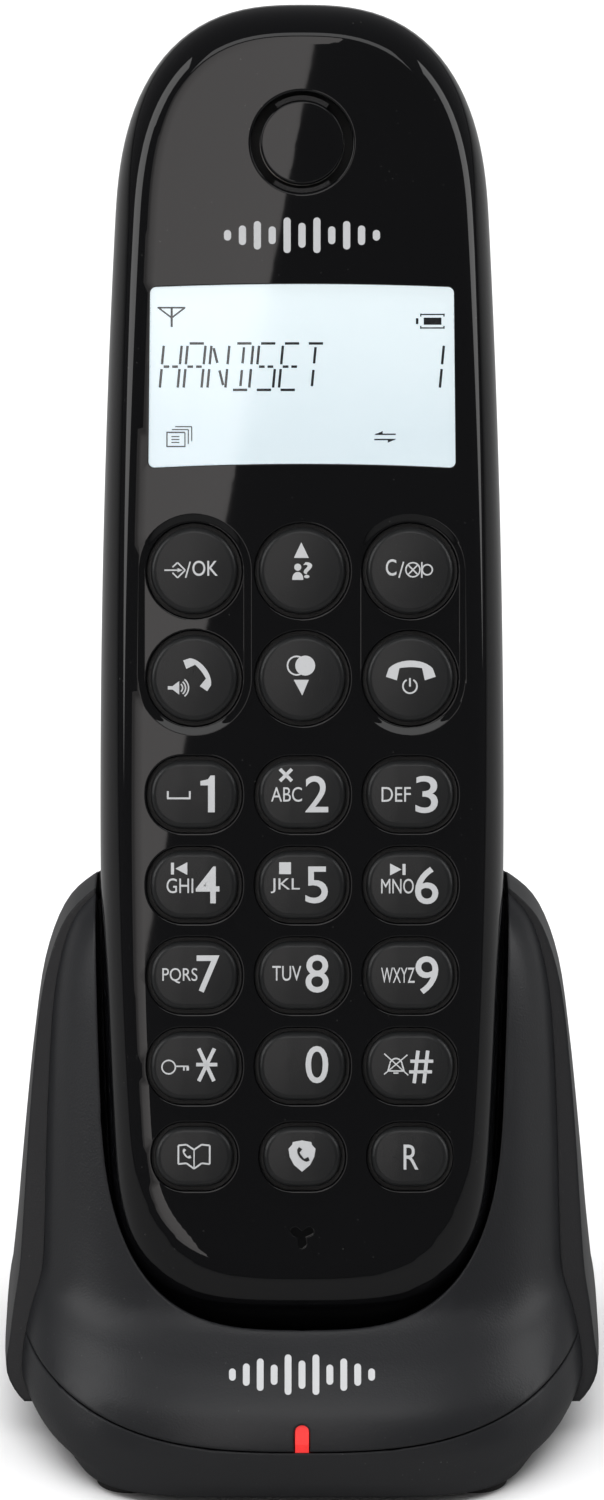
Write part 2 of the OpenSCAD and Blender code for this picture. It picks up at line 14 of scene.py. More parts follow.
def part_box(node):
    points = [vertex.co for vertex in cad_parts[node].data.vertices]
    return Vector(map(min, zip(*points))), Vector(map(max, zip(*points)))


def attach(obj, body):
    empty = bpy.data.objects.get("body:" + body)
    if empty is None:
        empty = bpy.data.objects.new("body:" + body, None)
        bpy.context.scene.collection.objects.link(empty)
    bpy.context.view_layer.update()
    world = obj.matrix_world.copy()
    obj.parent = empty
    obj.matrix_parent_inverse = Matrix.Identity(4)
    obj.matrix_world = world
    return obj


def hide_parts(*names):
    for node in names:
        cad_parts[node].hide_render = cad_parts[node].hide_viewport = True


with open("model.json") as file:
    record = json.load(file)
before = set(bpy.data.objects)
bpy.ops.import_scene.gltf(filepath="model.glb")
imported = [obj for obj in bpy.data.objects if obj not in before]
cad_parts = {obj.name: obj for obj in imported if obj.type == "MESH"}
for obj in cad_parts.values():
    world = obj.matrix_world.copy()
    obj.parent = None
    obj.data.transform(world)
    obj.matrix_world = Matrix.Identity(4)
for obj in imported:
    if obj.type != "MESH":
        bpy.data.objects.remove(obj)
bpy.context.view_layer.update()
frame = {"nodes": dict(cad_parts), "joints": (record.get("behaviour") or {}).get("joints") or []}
NODES = frame["nodes"]

# ---------- where things are ----------

MM = 0.001
lift = next(j for j in frame["joints"] if j["name"] == "handset_lift")
LEAN = atan2(lift["axis"][1], lift["axis"][2])
UPRIGHT = Matrix.Rotation(LEAN, 4, "X")
case_points = [UPRIGHT @ v.co for v in NODES["rear_case"].data.vertices]
parting_y = min(p.y for p in case_points)
lower_end_z = min(p.z for p in case_points)
feet_low, feet_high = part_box("rubber_feet")
TO_METRES = Matrix.Diagonal((MM, MM, MM, 1))
HANDSET = UPRIGHT.inverted() @ Matrix.Translation((0, parting_y, lower_end_z)) @ TO_METRES
BASE = Matrix.Translation((0, (feet_low.y + feet_high.y) / 2, 0)) @ TO_METRES
LEANED = BASE.inverted() @ HANDSET

# Handset outline, all in millimetres
LENGTH = 158
HALF_WIDTH = 24
WIDEST = 63
END_CORNER = 24
CROWN = 26
FACE = -10
BACK = 15
WALL = 2.2

# Keys: column pitch, row heights, and (width, height, corner) of the three caps
COLUMN = 12.75
ROWS = (90.55, 77.85, 64.1, 53.4, 42.7, 32.0, 21.3)
ROUND_CAP = (10.3, 10.3, 5.15)
NUMBER_CAP = (10.3, 8.1, 3.8)
SMALL_CAP = (9.2, 7.1, 3.4)
KEY_GAP = 0.45
KEY_TOP = -10.9
RECESS_FLOOR = -9.72
WINDOW_Z = 113.6
EARPIECE_Z = 141.2
MIC_Z = 11.7

# Base stations, bottom to top: front y, z; back y, z; half width in front, behind; front power
STATIONS = (
    (-33.3, 1.2, 33.4, 1.2, 27.6, 27.6, 5),
    (-33.9, 2.6, 34.8, 2.6, 29.6, 29.9, 4),
    (-34.2, 4.2, 36.2, 4.2, 32.6, 33.5, 3.2),
    (-34.3, 7.5, 37.5, 7.5, 34.4, 35.6, 2.8),
    (-32.5, 11.4, 37.2, 11.4, 34.2, 35.2, 2.7),
    (-28.5, 15.2, 36.7, 14.8, 33.8, 34.8, 2.6),
    (-23.8, 19.0, 36.1, 18.4, 33.4, 34.4, 2.5),
    (-20.6, 24.6, 34.9, 24.0, 32.9, 33.9, 2.5),
    (-17.2, 32.6, 33.2, 31.2, 32.2, 33.2, 2.5),
    (-13.4, 41.8, 31.3, 39.4, 31.3, 32.3, 2.5),
    (-9.4, 51.6, 29.2, 48.2, 30.0, 31.0, 2.5),
    (-6.4, 58.6, 27.7, 54.4, 28.0, 28.8, 2.5),
    (-4.4, 62.4, 26.7, 57.4, 25.3, 25.9, 2.5),
    (-2.6, 65.0, 25.5, 59.4, 21.7, 22.1, 2.5),
    (-0.2, 66.6, 24.0, 60.6, 16.6, 16.9, 2.5),
    (3.0, 67.3, 22.2, 61.1, 9.9, 10.0, 2.5),
)
BASE_WALL = 2
BASE_FLOOR = 2.8
POCKET_GAP = 0.7
POCKET_WALL = 1.8
LOWER_SWEEP = 26
LIP_RISE = 1.5
SEAM_GAP = 0.12
SPLIT = 3
CONTACT_X = 7
SOCKET_X = 14
SOCKET_Z = 11.6
FEET = ((20.5, -26), (-20.5, -26), (20.5, 26), (-20.5, 26))
SCREWS = ((13, -26), (-13, -26), (26, 14), (-26, 14))


# ---------- modelling by hand ----------

def deselect_all():
    bpy.ops.object.select_all(action="DESELECT")


def take(piece):
    deselect_all()
    piece.select_set(True)
    bpy.context.view_layer.objects.active = piece


def edit(piece):
    take(piece)
    bpy.ops.object.mode_set(mode="EDIT")
    bpy.ops.mesh.select_mode(type="FACE")


def leave():
    bpy.ops.object.mode_set(mode="OBJECT")


def edit_all(piece):
    edit(piece)
    bpy.ops.mesh.select_all(action="SELECT")


def pick(piece, wanted):
    """Edit mode with just the faces selected whose centre and normal are wanted."""
    edit(piece)
    bpy.ops.mesh.select_all(action="DESELECT")
    leave()
    for face in piece.data.polygons:
        face.select = bool(wanted(face.center, face.normal))
    bpy.ops.object.mode_set(mode="EDIT")


def tidy_mesh(piece, distance=0.0001):
    edit_all(piece)
    bpy.ops.mesh.remove_doubles(threshold=distance)
    bpy.ops.mesh.normals_make_consistent(inside=False)
    leave()


def wrap(name, rings):
    """A closed body: a grid wrapped round the rings, with both ends filled."""
    around = len(rings[0])
    deselect_all()
    bpy.ops.mesh.primitive_grid_add(x_subdivisions=around, y_subdivisions=len(rings) - 1, size=1)
    piece = bpy.context.object
    piece.name = name
    for index, vertex in enumerate(piece.data.vertices):
        row, column = divmod(index, around + 1)
        vertex.co = rings[row][column % around]
    edit_all(piece)
    bpy.ops.mesh.remove_doubles(threshold=0.0001)
    bpy.ops.mesh.select_mode(type="EDGE")
    bpy.ops.mesh.select_all(action="DESELECT")
    bpy.ops.mesh.select_non_manifold(extend=False)
    bpy.ops.mesh.fill_holes(sides=0)
    leave()
    tidy_mesh(piece)
    return piece


def plate(name, outline, back, front):
    """A flat plate with this (x, z) outline, between two depths."""
    deselect_all()
    bpy.ops.mesh.primitive_circle_add(vertices=len(outline), radius=1, fill_type="NGON")
    piece = bpy.context.object
    piece.name = name
    for vertex, (x, z) in zip(piece.data.vertices, outline):
        vertex.co = (x, back, z)
    edit_all(piece)
    bpy.ops.mesh.extrude_region_move(TRANSFORM_OT_translate={"value": (0, front - back, 0)})
    bpy.ops.mesh.select_all(action="SELECT")
    bpy.ops.mesh.normals_make_consistent(inside=False)
    leave()
    return piece


def round_rim(piece, depth, radius, segments=4, profile=0.5):
    """Rounds the edge around the flat face that lies at this depth."""
    pick(piece, lambda centre, normal: abs(centre.y - depth) < 0.01 and abs(normal.y) > 0.9)
    bpy.ops.mesh.bevel(offset=radius, segments=segments, profile=profile, clamp_overlap=False)
    leave()


def modify(piece, kind, **settings):
    """Adds a modifier, sets it and applies it."""
    change = piece.modifiers.new("change", kind)
    for name, value in settings.items():
        setattr(change, name, value)
    take(piece)
    bpy.ops.object.modifier_apply(modifier="change")


def combine(piece, tool, operation="DIFFERENCE", keep=False):
    modify(piece, "BOOLEAN", object=tool, operation=operation, solver="EXACT")
    if not keep:
        bpy.data.objects.remove(tool)


def join(pieces):
    take(pieces[0])
    for piece in pieces[1:]:
        piece.select_set(True)
    bpy.ops.object.join()
    return pieces[0]


def copy_of(piece, name):
    twin = piece.copy()
    twin.data = piece.data.copy()
    twin.name = name
    bpy.context.scene.collection.objects.link(twin)
    return twin


def smooth(piece, angle=32, weighted=True):
    take(piece)
    bpy.ops.object.shade_smooth_by_angle(angle=radians(angle))
    if weighted:
        modify(piece, "WEIGHTED_NORMAL", keep_sharp=True, weight=80)


def settle(piece, body, place, slot, stands_for=(), finish=""):
    """Brings a shaped piece to its place in metres, gives it its body and finish, and hides the
    parts it stands for.

    The finish is the slot's own unless one is named, and None leaves the piece's materials.
    """
    piece.data.transform(place)
    piece.data.update()
    if finish is not None:
        piece.data.materials.clear()
        piece.data.materials.append(FINISH[finish or slot])
    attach(piece, body)
    if stands_for:
        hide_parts(*stands_for)
    return piece


# ---------- outlines ----------

def half_width(z):
    if z < WIDEST:
        return HALF_WIDTH - 2.4 * ((WIDEST - z) / WIDEST) ** 2
    return HALF_WIDTH - 3.3 * ((z - WIDEST) / (LENGTH - WIDEST)) ** 2


def case_outline(stretches=132):
    """The handset's outline, from the lower end up the right side and down the left."""
    fine = []
    arc = 500
    for i in range(arc + 1):
        turn = pi / 2 * i / arc
        z = END_CORNER * (1 - max(cos(turn), 0) ** (2 / 3.1))
        fine.append(Vector((half_width(z) * sin(turn) ** (2 / 3.1), z)))
    crown_start = LENGTH - CROWN
    for i in range(1, arc):
        z = END_CORNER + (crown_start - END_CORNER) * i / arc
        fine.append(Vector((half_width(z), z)))
    for i in range(arc + 1):
        turn = pi / 2 * i / arc
        z = crown_start + CROWN * sin(turn) ** (2 / 2.65)
        fine.append(Vector((half_width(z) * max(cos(turn), 0) ** (2 / 2.65), z)))
    right = evenly(fine, stretches)
    return right + [(-x, z) for x, z in right[-2:0:-1]]


def evenly(points, stretches):
    """Points an even way apart along a line, its two ends among them."""
    travelled = [0]
    for a, b in zip(points, points[1:]):
        travelled.append(travelled[-1] + (b - a).length)
    spaced = []
    index = 0
    for i in range(stretches + 1):
        goal = travelled[-1] * i / stretches
        while index < len(points) - 2 and travelled[index + 1] < goal:
            index += 1
        step = max(travelled[index + 1] - travelled[index], 1e-9)
        spot = points[index].lerp(points[index + 1], min((goal - travelled[index]) / step, 1))
        spaced.append(tuple(spot))
    return spaced


def outward(points, index):
    before = Vector(points[index - 1])
    after = Vector(points[(index + 1) % len(points)])
    along = (after - before).normalized()
    return Vector((along.y, -along.x))


def grown(points, by):
    """The outline moved outward; by is a distance or a function of the place."""
    moved = []
    for index, point in enumerate(points):
        away = outward(points, index)
        step = by(point) if callable(by) else by
        moved.append((point[0] + step * away.x, point[1] + step * away.y))
    return moved


def rounded(width, height, corner, x=0, z=0, steps=9):
    """A rounded rectangle, anticlockwise from the right."""
    points = []
    half = (width / 2 - corner, height / 2 - corner)
    for quarter, (sx, sz) in enumerate(((1, 1), (-1, 1), (-1, -1), (1, -1))):
        for i in range(steps + 1):
            turn = pi / 2 * (quarter + i / steps)
            point = (x + sx * half[0] + corner * cos(turn), z + sz * half[1] + corner * sin(turn))
            if not points or (Vector(point) - Vector(points[-1])).length > 0.001:
                points.append(point)
    if (Vector(points[0]) - Vector(points[-1])).length < 0.001:
        points.pop()
    return points


def circle(radius, x=0, z=0, steps=48):
    return [(x + radius * cos(2 * pi * i / steps), z + radius * sin(2 * pi * i / steps))
            for i in range(steps)]


def at_depth(outline, y):
    return [(x, y, z) for x, z in outline]


def well(name, outline, face, lip=0.3, floor=-7.2, steps=5):
    """A cutter for a hole whose mouth is rounded over by lip."""
    rings = [at_depth(grown(outline, lip + 0.25), face - 0.4),
             at_depth(grown(outline, lip + 0.02), face - 0.004)]
    for i in range(steps + 1):
        turn = pi / 2 * i / steps
        rings.append(at_depth(grown(outline, lip * (1 - sin(turn))),
                              face + lip * (1 - cos(turn))))
    rings.append(at_depth(outline, floor))
    return wrap(name, rings)


# ---------- keys: what each is called, where it is and what is drawn on it ----------

KEYS = (
    ("key_menu_ok", -1, 0, "round"), ("key_up", 0, 0, "round"), ("key_clear_mute", 1, 0, "round"),
    ("key_talk", -1, 1, "round"), ("key_down", 0, 1, "round"), ("key_end_power", 1, 1, "round"),
    ("key_1", -1, 2, "number"), ("key_2", 0, 2, "number"), ("key_3", 1, 2, "number"),
    ("key_4", -1, 3, "number"), ("key_5", 0, 3, "number"), ("key_6", 1, 3, "number"),
    ("key_7", -1, 4, "number"), ("key_8", 0, 4, "number"), ("key_9", 1, 4, "number"),
    ("key_star", -1, 5, "number"), ("key_0", 0, 5, "number"), ("key_hash", 1, 5, "number"),
    ("key_phonebook", -1, 6, "small"), ("key_call_block", 0, 6, "small"),
    ("key_recall", 1, 6, "small"),
)
CAPS = {"round": ROUND_CAP, "number": NUMBER_CAP, "small": SMALL_CAP}


def in_recess(column, row):
    return column != 0 and row < 2


# ---------- finishes ----------

class Sheet:
    """A node tree under construction: short calls to add nodes and wire them."""

    def __init__(self, tree):
        self.tree = tree
        self.count = 0

    def add(self, kind, settings=None, **inputs):
        node = self.tree.nodes.new("ShaderNode" + kind)
        node.location = (-220 * (self.count % 6), -260 * (self.count // 6))
        self.count += 1
        for name, value in (settings or {}).items():
            setattr(node, name, value)
        for name, value in inputs.items():
            self.feed(node, name.replace("_", " "), value)
        return node

    def feed(self, node, name, value):
        socket = node.inputs[name] if not name.isdigit() else node.inputs[int(name)]
        if isinstance(value, bpy.types.NodeSocket):
            self.tree.links.new(value, socket)
        else:
            socket.default_value = value

    def sum(self, operation, *terms, **settings):
        """A Math node's result."""
        node = self.add("Math", {"operation": operation, **settings})
        for index, term in enumerate(terms):
            self.feed(node, str(index), term)
        return node.outputs[0]

    def span(self, value, **ends):
        """A Map Range node's result, with ends such as From_Min given by name."""
        return self.add("MapRange", Value=value, **ends).outputs[0]


def new_group(name, inputs, outputs):
    group = bpy.data.node_groups.new(name, "ShaderNodeTree")
    for label, kind, value in inputs:
        socket = group.interface.new_socket(name=label, in_out="INPUT", socket_type=kind)
        socket.default_value = value
    for label, kind in outputs:
        group.interface.new_socket(name=label, in_out="OUTPUT", socket_type=kind)
    sheet = Sheet(group)
    entry = group.nodes.new("NodeGroupInput")
    entry.location = (-1400, 0)
    leaving = group.nodes.new("NodeGroupOutput")
    leaving.location = (300, 0)
    return group, sheet, entry.outputs, leaving


def make_moulding_group():
    """Fine moulded grain: a height for bump, and roughness that wanders with handling."""
    group, sheet, given, leaving = new_group(
        "moulded surface",
        [("Grain Scale", "NodeSocketFloat", 3000.0), ("Roughness", "NodeSocketFloat", 0.4),
         ("Wander", "NodeSocketFloat", 0.05), ("Wander Scale", "NodeSocketFloat", 60.0)],
        [("Height", "NodeSocketFloat"), ("Roughness", "NodeSocketFloat"),
         ("Mottle", "NodeSocketFloat")])
    place = sheet.add("TexCoord").outputs["Object"]
    grain = sheet.add("TexNoise", Vector=place, Scale=given["Grain Scale"], Detail=2.0)
    wander = sheet.add("TexNoise", Vector=place, Scale=given["Wander Scale"], Detail=4.0,
                       Roughness=0.6)
    spread = sheet.sum("SUBTRACT", wander.outputs["Fac"], 0.5)
    rough = sheet.sum("ADD", given["Roughness"], sheet.sum("MULTIPLY", spread, given["Wander"]))
    links = group.links
    links.new(grain.outputs["Fac"], leaving.inputs["Height"])
    links.new(rough, leaving.inputs["Roughness"])
    links.new(wander.outputs["Fac"], leaving.inputs["Mottle"])
    return group


def make_dust_group():
    """Sparse specks of dust as a mask."""
    group, sheet, given, leaving = new_group(
        "dust specks",
        [("Scale", "NodeSocketFloat", 900.0), ("Amount", "NodeSocketFloat", 0.1)],
        [("Mask", "NodeSocketFloat")])
    place = sheet.add("TexCoord").outputs["Object"]
    cells = sheet.add("TexVoronoi", Vector=place, Scale=given["Scale"])
    spots = sheet.span(cells.outputs["Distance"], From_Min=0.1, From_Max=0.04)
    patch = sheet.add("TexNoise", Vector=place, Scale=120.0, Detail=3.0)
    thin = sheet.span(patch.outputs["Fac"], From_Min=0.5, From_Max=0.7)
    amount = sheet.sum("MULTIPLY", sheet.sum("MULTIPLY", spots, thin), given["Amount"],
                       use_clamp=True)
    group.links.new(amount, leaving.inputs["Mask"])
    return group


def make_streak_group():
    """Long fine lines along one direction, as on drawn or brushed metal."""
    group, sheet, given, leaving = new_group(
        "drawn lines",
        [("Scale", "NodeSocketFloat", 2500.0)],
        [("Height", "NodeSocketFloat"), ("Mottle", "NodeSocketFloat")])
    place = sheet.add("TexCoord").outputs["Object"]
    stretch = sheet.add("Mapping", Vector=place)
    stretch.inputs["Scale"].default_value = (1, 1, 0.06)
    lines = sheet.add("TexNoise", Vector=stretch.outputs[0], Scale=given["Scale"], Detail=3.0)
    broad = sheet.add("TexNoise", Vector=stretch.outputs[0], Scale=180.0, Detail=2.0)
    group.links.new(lines.outputs["Fac"], leaving.inputs["Height"])
    group.links.new(broad.outputs["Fac"], leaving.inputs["Mottle"])
    return group


MOULDED = make_moulding_group()
DUST = make_dust_group()
DRAWN = make_streak_group()


def new_material(name):
    material = bpy.data.materials.new(name)
    material.use_nodes = True
    shader = material.node_tree.nodes["Principled BSDF"]
    return material, Sheet(material.node_tree), shader


def place_group(sheet, group, **inputs):
    node = sheet.tree.nodes.new("ShaderNodeGroup")
    node.node_tree = group
    node.location = (-700, -300 - 120 * sheet.count)
    for name, value in inputs.items():
        sheet.feed(node, name.replace("_", " "), value)
    return node


def blend_colours(sheet, factor, first, second):
    mix = sheet.add("Mix", {"data_type": "RGBA"})
    sheet.feed(mix, "0", factor)
    mix.inputs[6].default_value = (*first, 1)
    mix.inputs[7].default_value = (*second, 1)
    return mix.outputs[2]


def add_bump(sheet, shader, height, strength, distance, edge=0.0):
    bump = sheet.add("Bump", Height=height, Strength=strength, Distance=distance)
    if edge:
        soft_edge = sheet.add("Bevel")
        soft_edge.samples = 6
        soft_edge.inputs["Radius"].default_value = edge
        sheet.tree.links.new(soft_edge.outputs[0], bump.inputs["Normal"])
    sheet.tree.links.new(bump.outputs[0], shader.inputs["Normal"])


def moulded_plastic(name, dark, light, rough, wander=0.06, grain=3000.0, bump=0.12, dust=0.0,
                    dust_colour=(0.2, 0.2, 0.19), wander_scale=60.0, specular=0.5,
                    edge=0.0):
    """Moulded plastic: two close colours that wander, a fine grain, uneven sheen and dust."""
    material, sheet, shader = new_material(name)
    surface = place_group(sheet, MOULDED, Grain_Scale=grain, Roughness=rough, Wander=wander,
                          Wander_Scale=wander_scale)
    colour = blend_colours(sheet, surface.outputs["Mottle"], dark, light)
    if dust:
        specks = place_group(sheet, DUST, Amount=dust)
        top = sheet.add("Mix", {"data_type": "RGBA"})
        sheet.feed(top, "0", specks.outputs["Mask"])
        sheet.feed(top, "6", colour)
        top.inputs[7].default_value = (*dust_colour, 1)
        colour = top.outputs[2]
    sheet.feed(shader, "Base Color", colour)
    sheet.feed(shader, "Roughness", surface.outputs["Roughness"])
    shader.inputs["Specular IOR Level"].default_value = specular
    add_bump(sheet, shader, surface.outputs["Height"], bump, 0.0001, edge)
    return material


def drawn_metal(name, dark, light, rough, bump=0.15):
    material, sheet, shader = new_material(name)
    lines = place_group(sheet, DRAWN)
    sheet.feed(shader, "Base Color", blend_colours(sheet, lines.outputs["Mottle"], dark, light))
    sheet.feed(shader, "Roughness", sheet.span(lines.outputs["Height"], To_Min=rough - 0.08,
                                               To_Max=rough + 0.1))
    shader.inputs["Metallic"].default_value = 1
    add_bump(sheet, shader, lines.outputs["Height"], bump, 0.00005)
    return material


def glass_lens(name):
    """Clear window plastic with a few faint wipe marks in its polish."""
    material, sheet, shader = new_material(name)
    surface = place_group(sheet, MOULDED, Grain_Scale=900.0, Roughness=0.03, Wander=0.05,
                          Wander_Scale=90.0)
    sheet.feed(shader, "Roughness", surface.outputs["Roughness"])
    shader.inputs["Base Color"].default_value = (0.95, 0.97, 0.98, 1)
    shader.inputs["Transmission Weight"].default_value = 1
    shader.inputs["IOR"].default_value = 1.49
    return material


def lit_panel(name, high, low, bottom_z, top_z):
    """A back-lit display: paler at the top, with a faint cloudy unevenness."""
    material, sheet, shader = new_material(name)
    place = sheet.add("TexCoord").outputs["Object"]
    split = sheet.add("SeparateXYZ", Vector=place)
    rise = sheet.span(split.outputs["Z"], From_Min=bottom_z, From_Max=top_z)
    cloud = sheet.add("TexNoise", Vector=place, Scale=70.0, Detail=2.0)
    drift = sheet.sum("MULTIPLY_ADD", cloud.outputs["Fac"], 0.35, -0.17)
    level = sheet.sum("ADD", rise, drift, use_clamp=True)
    sheet.feed(shader, "Base Color", blend_colours(sheet, level, (0.3, 0.32, 0.33),
                                                   (0.36, 0.38, 0.39)))
    sheet.feed(shader, "Emission Color", blend_colours(sheet, level, low, high))
    shader.inputs["Emission Strength"].default_value = 1
    shader.inputs["Roughness"].default_value = 0.5
    return material


def red_guide(name):
    """A red light guide that glows, brighter and darker in fine patches."""
    material, sheet, shader = new_material(name)
    place = sheet.add("TexCoord").outputs["Object"]
    cloud = sheet.add("TexNoise", Vector=place, Scale=900.0, Detail=2.0)
    sheet.feed(shader, "Base Color", blend_colours(sheet, cloud.outputs["Fac"],
                                                   (0.45, 0.01, 0.01), (0.6, 0.02, 0.02)))
    sheet.feed(shader, "Emission Color", blend_colours(sheet, cloud.outputs["Fac"],
                                                       (0.62, 0.02, 0.018), (0.85, 0.04, 0.035)))
    shader.inputs["Emission Strength"].default_value = 0.75
    shader.inputs["Roughness"].default_value = 0.2
    return material


def printed_board(name):
    """A green board with paler copper tracks under its lacquer."""
    material, sheet, shader = new_material(name)
    place = sheet.add("TexCoord").outputs["Object"]
    tracks = sheet.add("TexBrick", Vector=place, Scale=260.0)
    tracks.inputs["Color1"].default_value = (0.005, 0.055, 0.02, 1)
    tracks.inputs["Color2"].default_value = (0.008, 0.07, 0.03, 1)
    tracks.inputs["Mortar"].default_value = (0.03, 0.16, 0.07, 1)
    tracks.inputs["Mortar Size"].default_value = 0.05
    sheet.feed(shader, "Base Color", tracks.outputs["Color"])
    surface = place_group(sheet, MOULDED, Roughness=0.35, Wander=0.1)
    sheet.feed(shader, "Roughness", surface.outputs["Roughness"])
    add_bump(sheet, shader, tracks.outputs["Fac"], 0.3, 0.00003)
    return material


FINISH = {
    "gloss_black": moulded_plastic("gloss black face", (0.0025, 0.0026, 0.003),
                                   (0.004, 0.004, 0.0045), 0.012, wander=0.02, grain=200.0,
                                   bump=0.006, dust=0.25, wander_scale=35.0),
    "satin_black": moulded_plastic("satin black back", (0.012, 0.012, 0.013),
                                   (0.018, 0.018, 0.019), 0.42, wander=0.1, grain=4200.0,
                                   bump=0.3, dust=0.3),
    "key_grey": moulded_plastic("charcoal keys", (0.009, 0.0095, 0.01), (0.012, 0.0125, 0.013),
                                0.34, wander=0.08, grain=5200.0, bump=0.14, dust=0.1),
    "key_mark": moulded_plastic("printed grey legends", (0.56, 0.57, 0.58),
                                (0.66, 0.67, 0.68), 0.55, wander=0.1, grain=6000.0, bump=0.1),
    "base_charcoal": moulded_plastic("charcoal base", (0.0125, 0.013, 0.0145),
                                     (0.0165, 0.017, 0.019), 0.36, wander=0.08, grain=3600.0,
                                     bump=0.22, dust=0.35, edge=0.00045),
    "socket_black": moulded_plastic("socket black", (0.006, 0.006, 0.006), (0.012, 0.012, 0.012),
                                    0.3, wander=0.1, grain=4000.0, bump=0.2),
    "black_rubber": moulded_plastic("black rubber", (0.012, 0.012, 0.012), (0.028, 0.027, 0.026),
                                    0.75, wander=0.15, grain=1800.0, bump=0.5, dust=0.5),
    "foam": moulded_plastic("black foam", (0.006, 0.006, 0.006), (0.035, 0.035, 0.035), 0.92,
                            wander=0.05, grain=1500.0, bump=0.9),
    "white_plastic": moulded_plastic("white reflector", (0.72, 0.73, 0.72), (0.82, 0.82, 0.8),
                                     0.45, wander=0.1, grain=3000.0, bump=0.15),
    "silicone": moulded_plastic("grey silicone", (0.05, 0.052, 0.055), (0.08, 0.082, 0.085), 0.6,
                                wander=0.1, grain=2200.0, bump=0.25),
    "cell_sleeve": moulded_plastic("green cell sleeve", (0.02, 0.19, 0.1), (0.03, 0.25, 0.14),
                                   0.28, wander=0.15, grain=1200.0, bump=0.15),
    "steel": drawn_metal("plated steel", (0.48, 0.48, 0.47), (0.66, 0.66, 0.64), 0.3),
    "gold_plate": drawn_metal("gold plate", (0.72, 0.5, 0.2), (0.88, 0.66, 0.32), 0.25),
    "circuit_board": printed_board("green circuit board"),
    "display_lens": glass_lens("clear display lens"),
    "lcd_face": lit_panel("back-lit display", (0.84, 0.92, 0.94), (0.70, 0.79, 0.83),
                          0.115, 0.135),
    "lcd_ink": moulded_plastic("dark display segments", (0.004, 0.006, 0.009),
                               (0.008, 0.01, 0.014), 0.5, wander=0.1, grain=3000.0, bump=0.05),
    "red_light": red_guide("red light guide"),
}
NODES_OF_FINISH = {
    "gloss_black": "front_case earpiece_insert",
    "satin_black": "rear_case battery_door",
    "display_lens": "display_window",
    "lcd_face": "lcd_panel",
    "white_plastic": "lcd_backlight status_led",
    "foam": "earpiece_gasket",
    "steel": (
        "earpiece_speaker microphone handset_radio_can key_domes ringer_speaker "
        "battery_springs battery_plates handset_screws base_radio_can page_switch "
        "base_screws"),
    "circuit_board": "handset_board base_board",
    "silicone": "keypad_mat",
    "cell_sleeve": "battery_cell_left battery_cell_right",
    "gold_plate": "charge_pads charge_contact_left charge_contact_right",
    "base_charcoal": "base_front_shell base_rear_shell base_bottom_tray",
    "red_light": "status_light",
    "socket_black": "line_jack power_jack",
    "black_rubber": "rubber_feet",
}
for node in NODES.values():
    node.data.materials.clear()
    node.data.materials.append(FINISH["key_grey"])
for finish_name, node_names in NODES_OF_FINISH.items():
    for node_name in node_names.split():
        NODES[node_name].data.materials[0] = FINISH[finish_name]


# ---------- handset case ----------

OUTLINE = case_outline()


def face_ring(share, reach=5.2, end_reach=10.2):
    """The outline drawn in by a share of the rounded edge, with a longer sweep at the lower end."""
    ring = []
    for x, z in OUTLINE:
        low = max(1 - z / 44, 0) ** 2
        high = max(1 - (LENGTH - z) / 30, 0) ** 2
        ring.append((x * (1 - share * reach / half_width(z)),
                     z + share * (end_reach * low - reach * high)))
    return ring


def make_front_case():
    rings = [at_depth(OUTLINE, -0.1), at_depth(OUTLINE, -1)]
    steps = 12
    for i in range(steps + 1):
        turn = pi / 2 * i / steps
        share = 1 - max(cos(turn), 0) ** (2 / 2.2)
        rings.append(at_depth(face_ring(share),
                              -2 + (FACE + 2) * sin(turn) ** (2 / 2.2)))
    case = wrap("face_shell", rings)
    hollow = [at_depth(grown(OUTLINE, -WALL), 1), at_depth(grown(OUTLINE, -WALL), -3),
              at_depth(grown(OUTLINE, -4.6), -7), at_depth(grown(OUTLINE, -7.4), FACE + 1.8)]
    combine(case, wrap("hollow", hollow))
    middle = (ROWS[0] + ROWS[1]) / 2
    tall = ROWS[0] - ROWS[1]
    for side in (-1, 1):
        rings = []
        for grow, depth in ((0.9, -10.4), (0.52, -10.004), (0.4, -9.985), (0.2, -9.92),
                            (0, -9.84), (-0.2, -9.76), (-0.4, RECESS_FLOOR + 0.01),
                            (-0.55, RECESS_FLOOR)):
            wide = 2 * (6.3 + grow)
            rings.append(at_depth(rounded(wide, wide + tall, wide / 2 - 0.01, side * COLUMN,
                                          middle, 14), depth))
        combine(case, wrap("column_recess", rings))
    cutters = []
    for _, column, row, shape in KEYS:
        width, height, corner = CAPS[shape]
        mouth = rounded(width + 2 * KEY_GAP, height + 2 * KEY_GAP, corner + KEY_GAP,
                        column * COLUMN, ROWS[row], 11)
        face = RECESS_FLOOR if in_recess(column, row) else FACE
        cutters.append(well("well", mouth, face))
    cutters.append(well("window_hole", window_outline(0), FACE, lip=0.12))
    cutters.append(well("earpiece_hole", circle(6, 0, EARPIECE_Z, 64), FACE, lip=0.35))
    cutters.append(well("sound_slot", trefoil(), FACE, lip=0.12, floor=-8.9))
    combine(case, join(cutters))
    smooth(case)
    return case


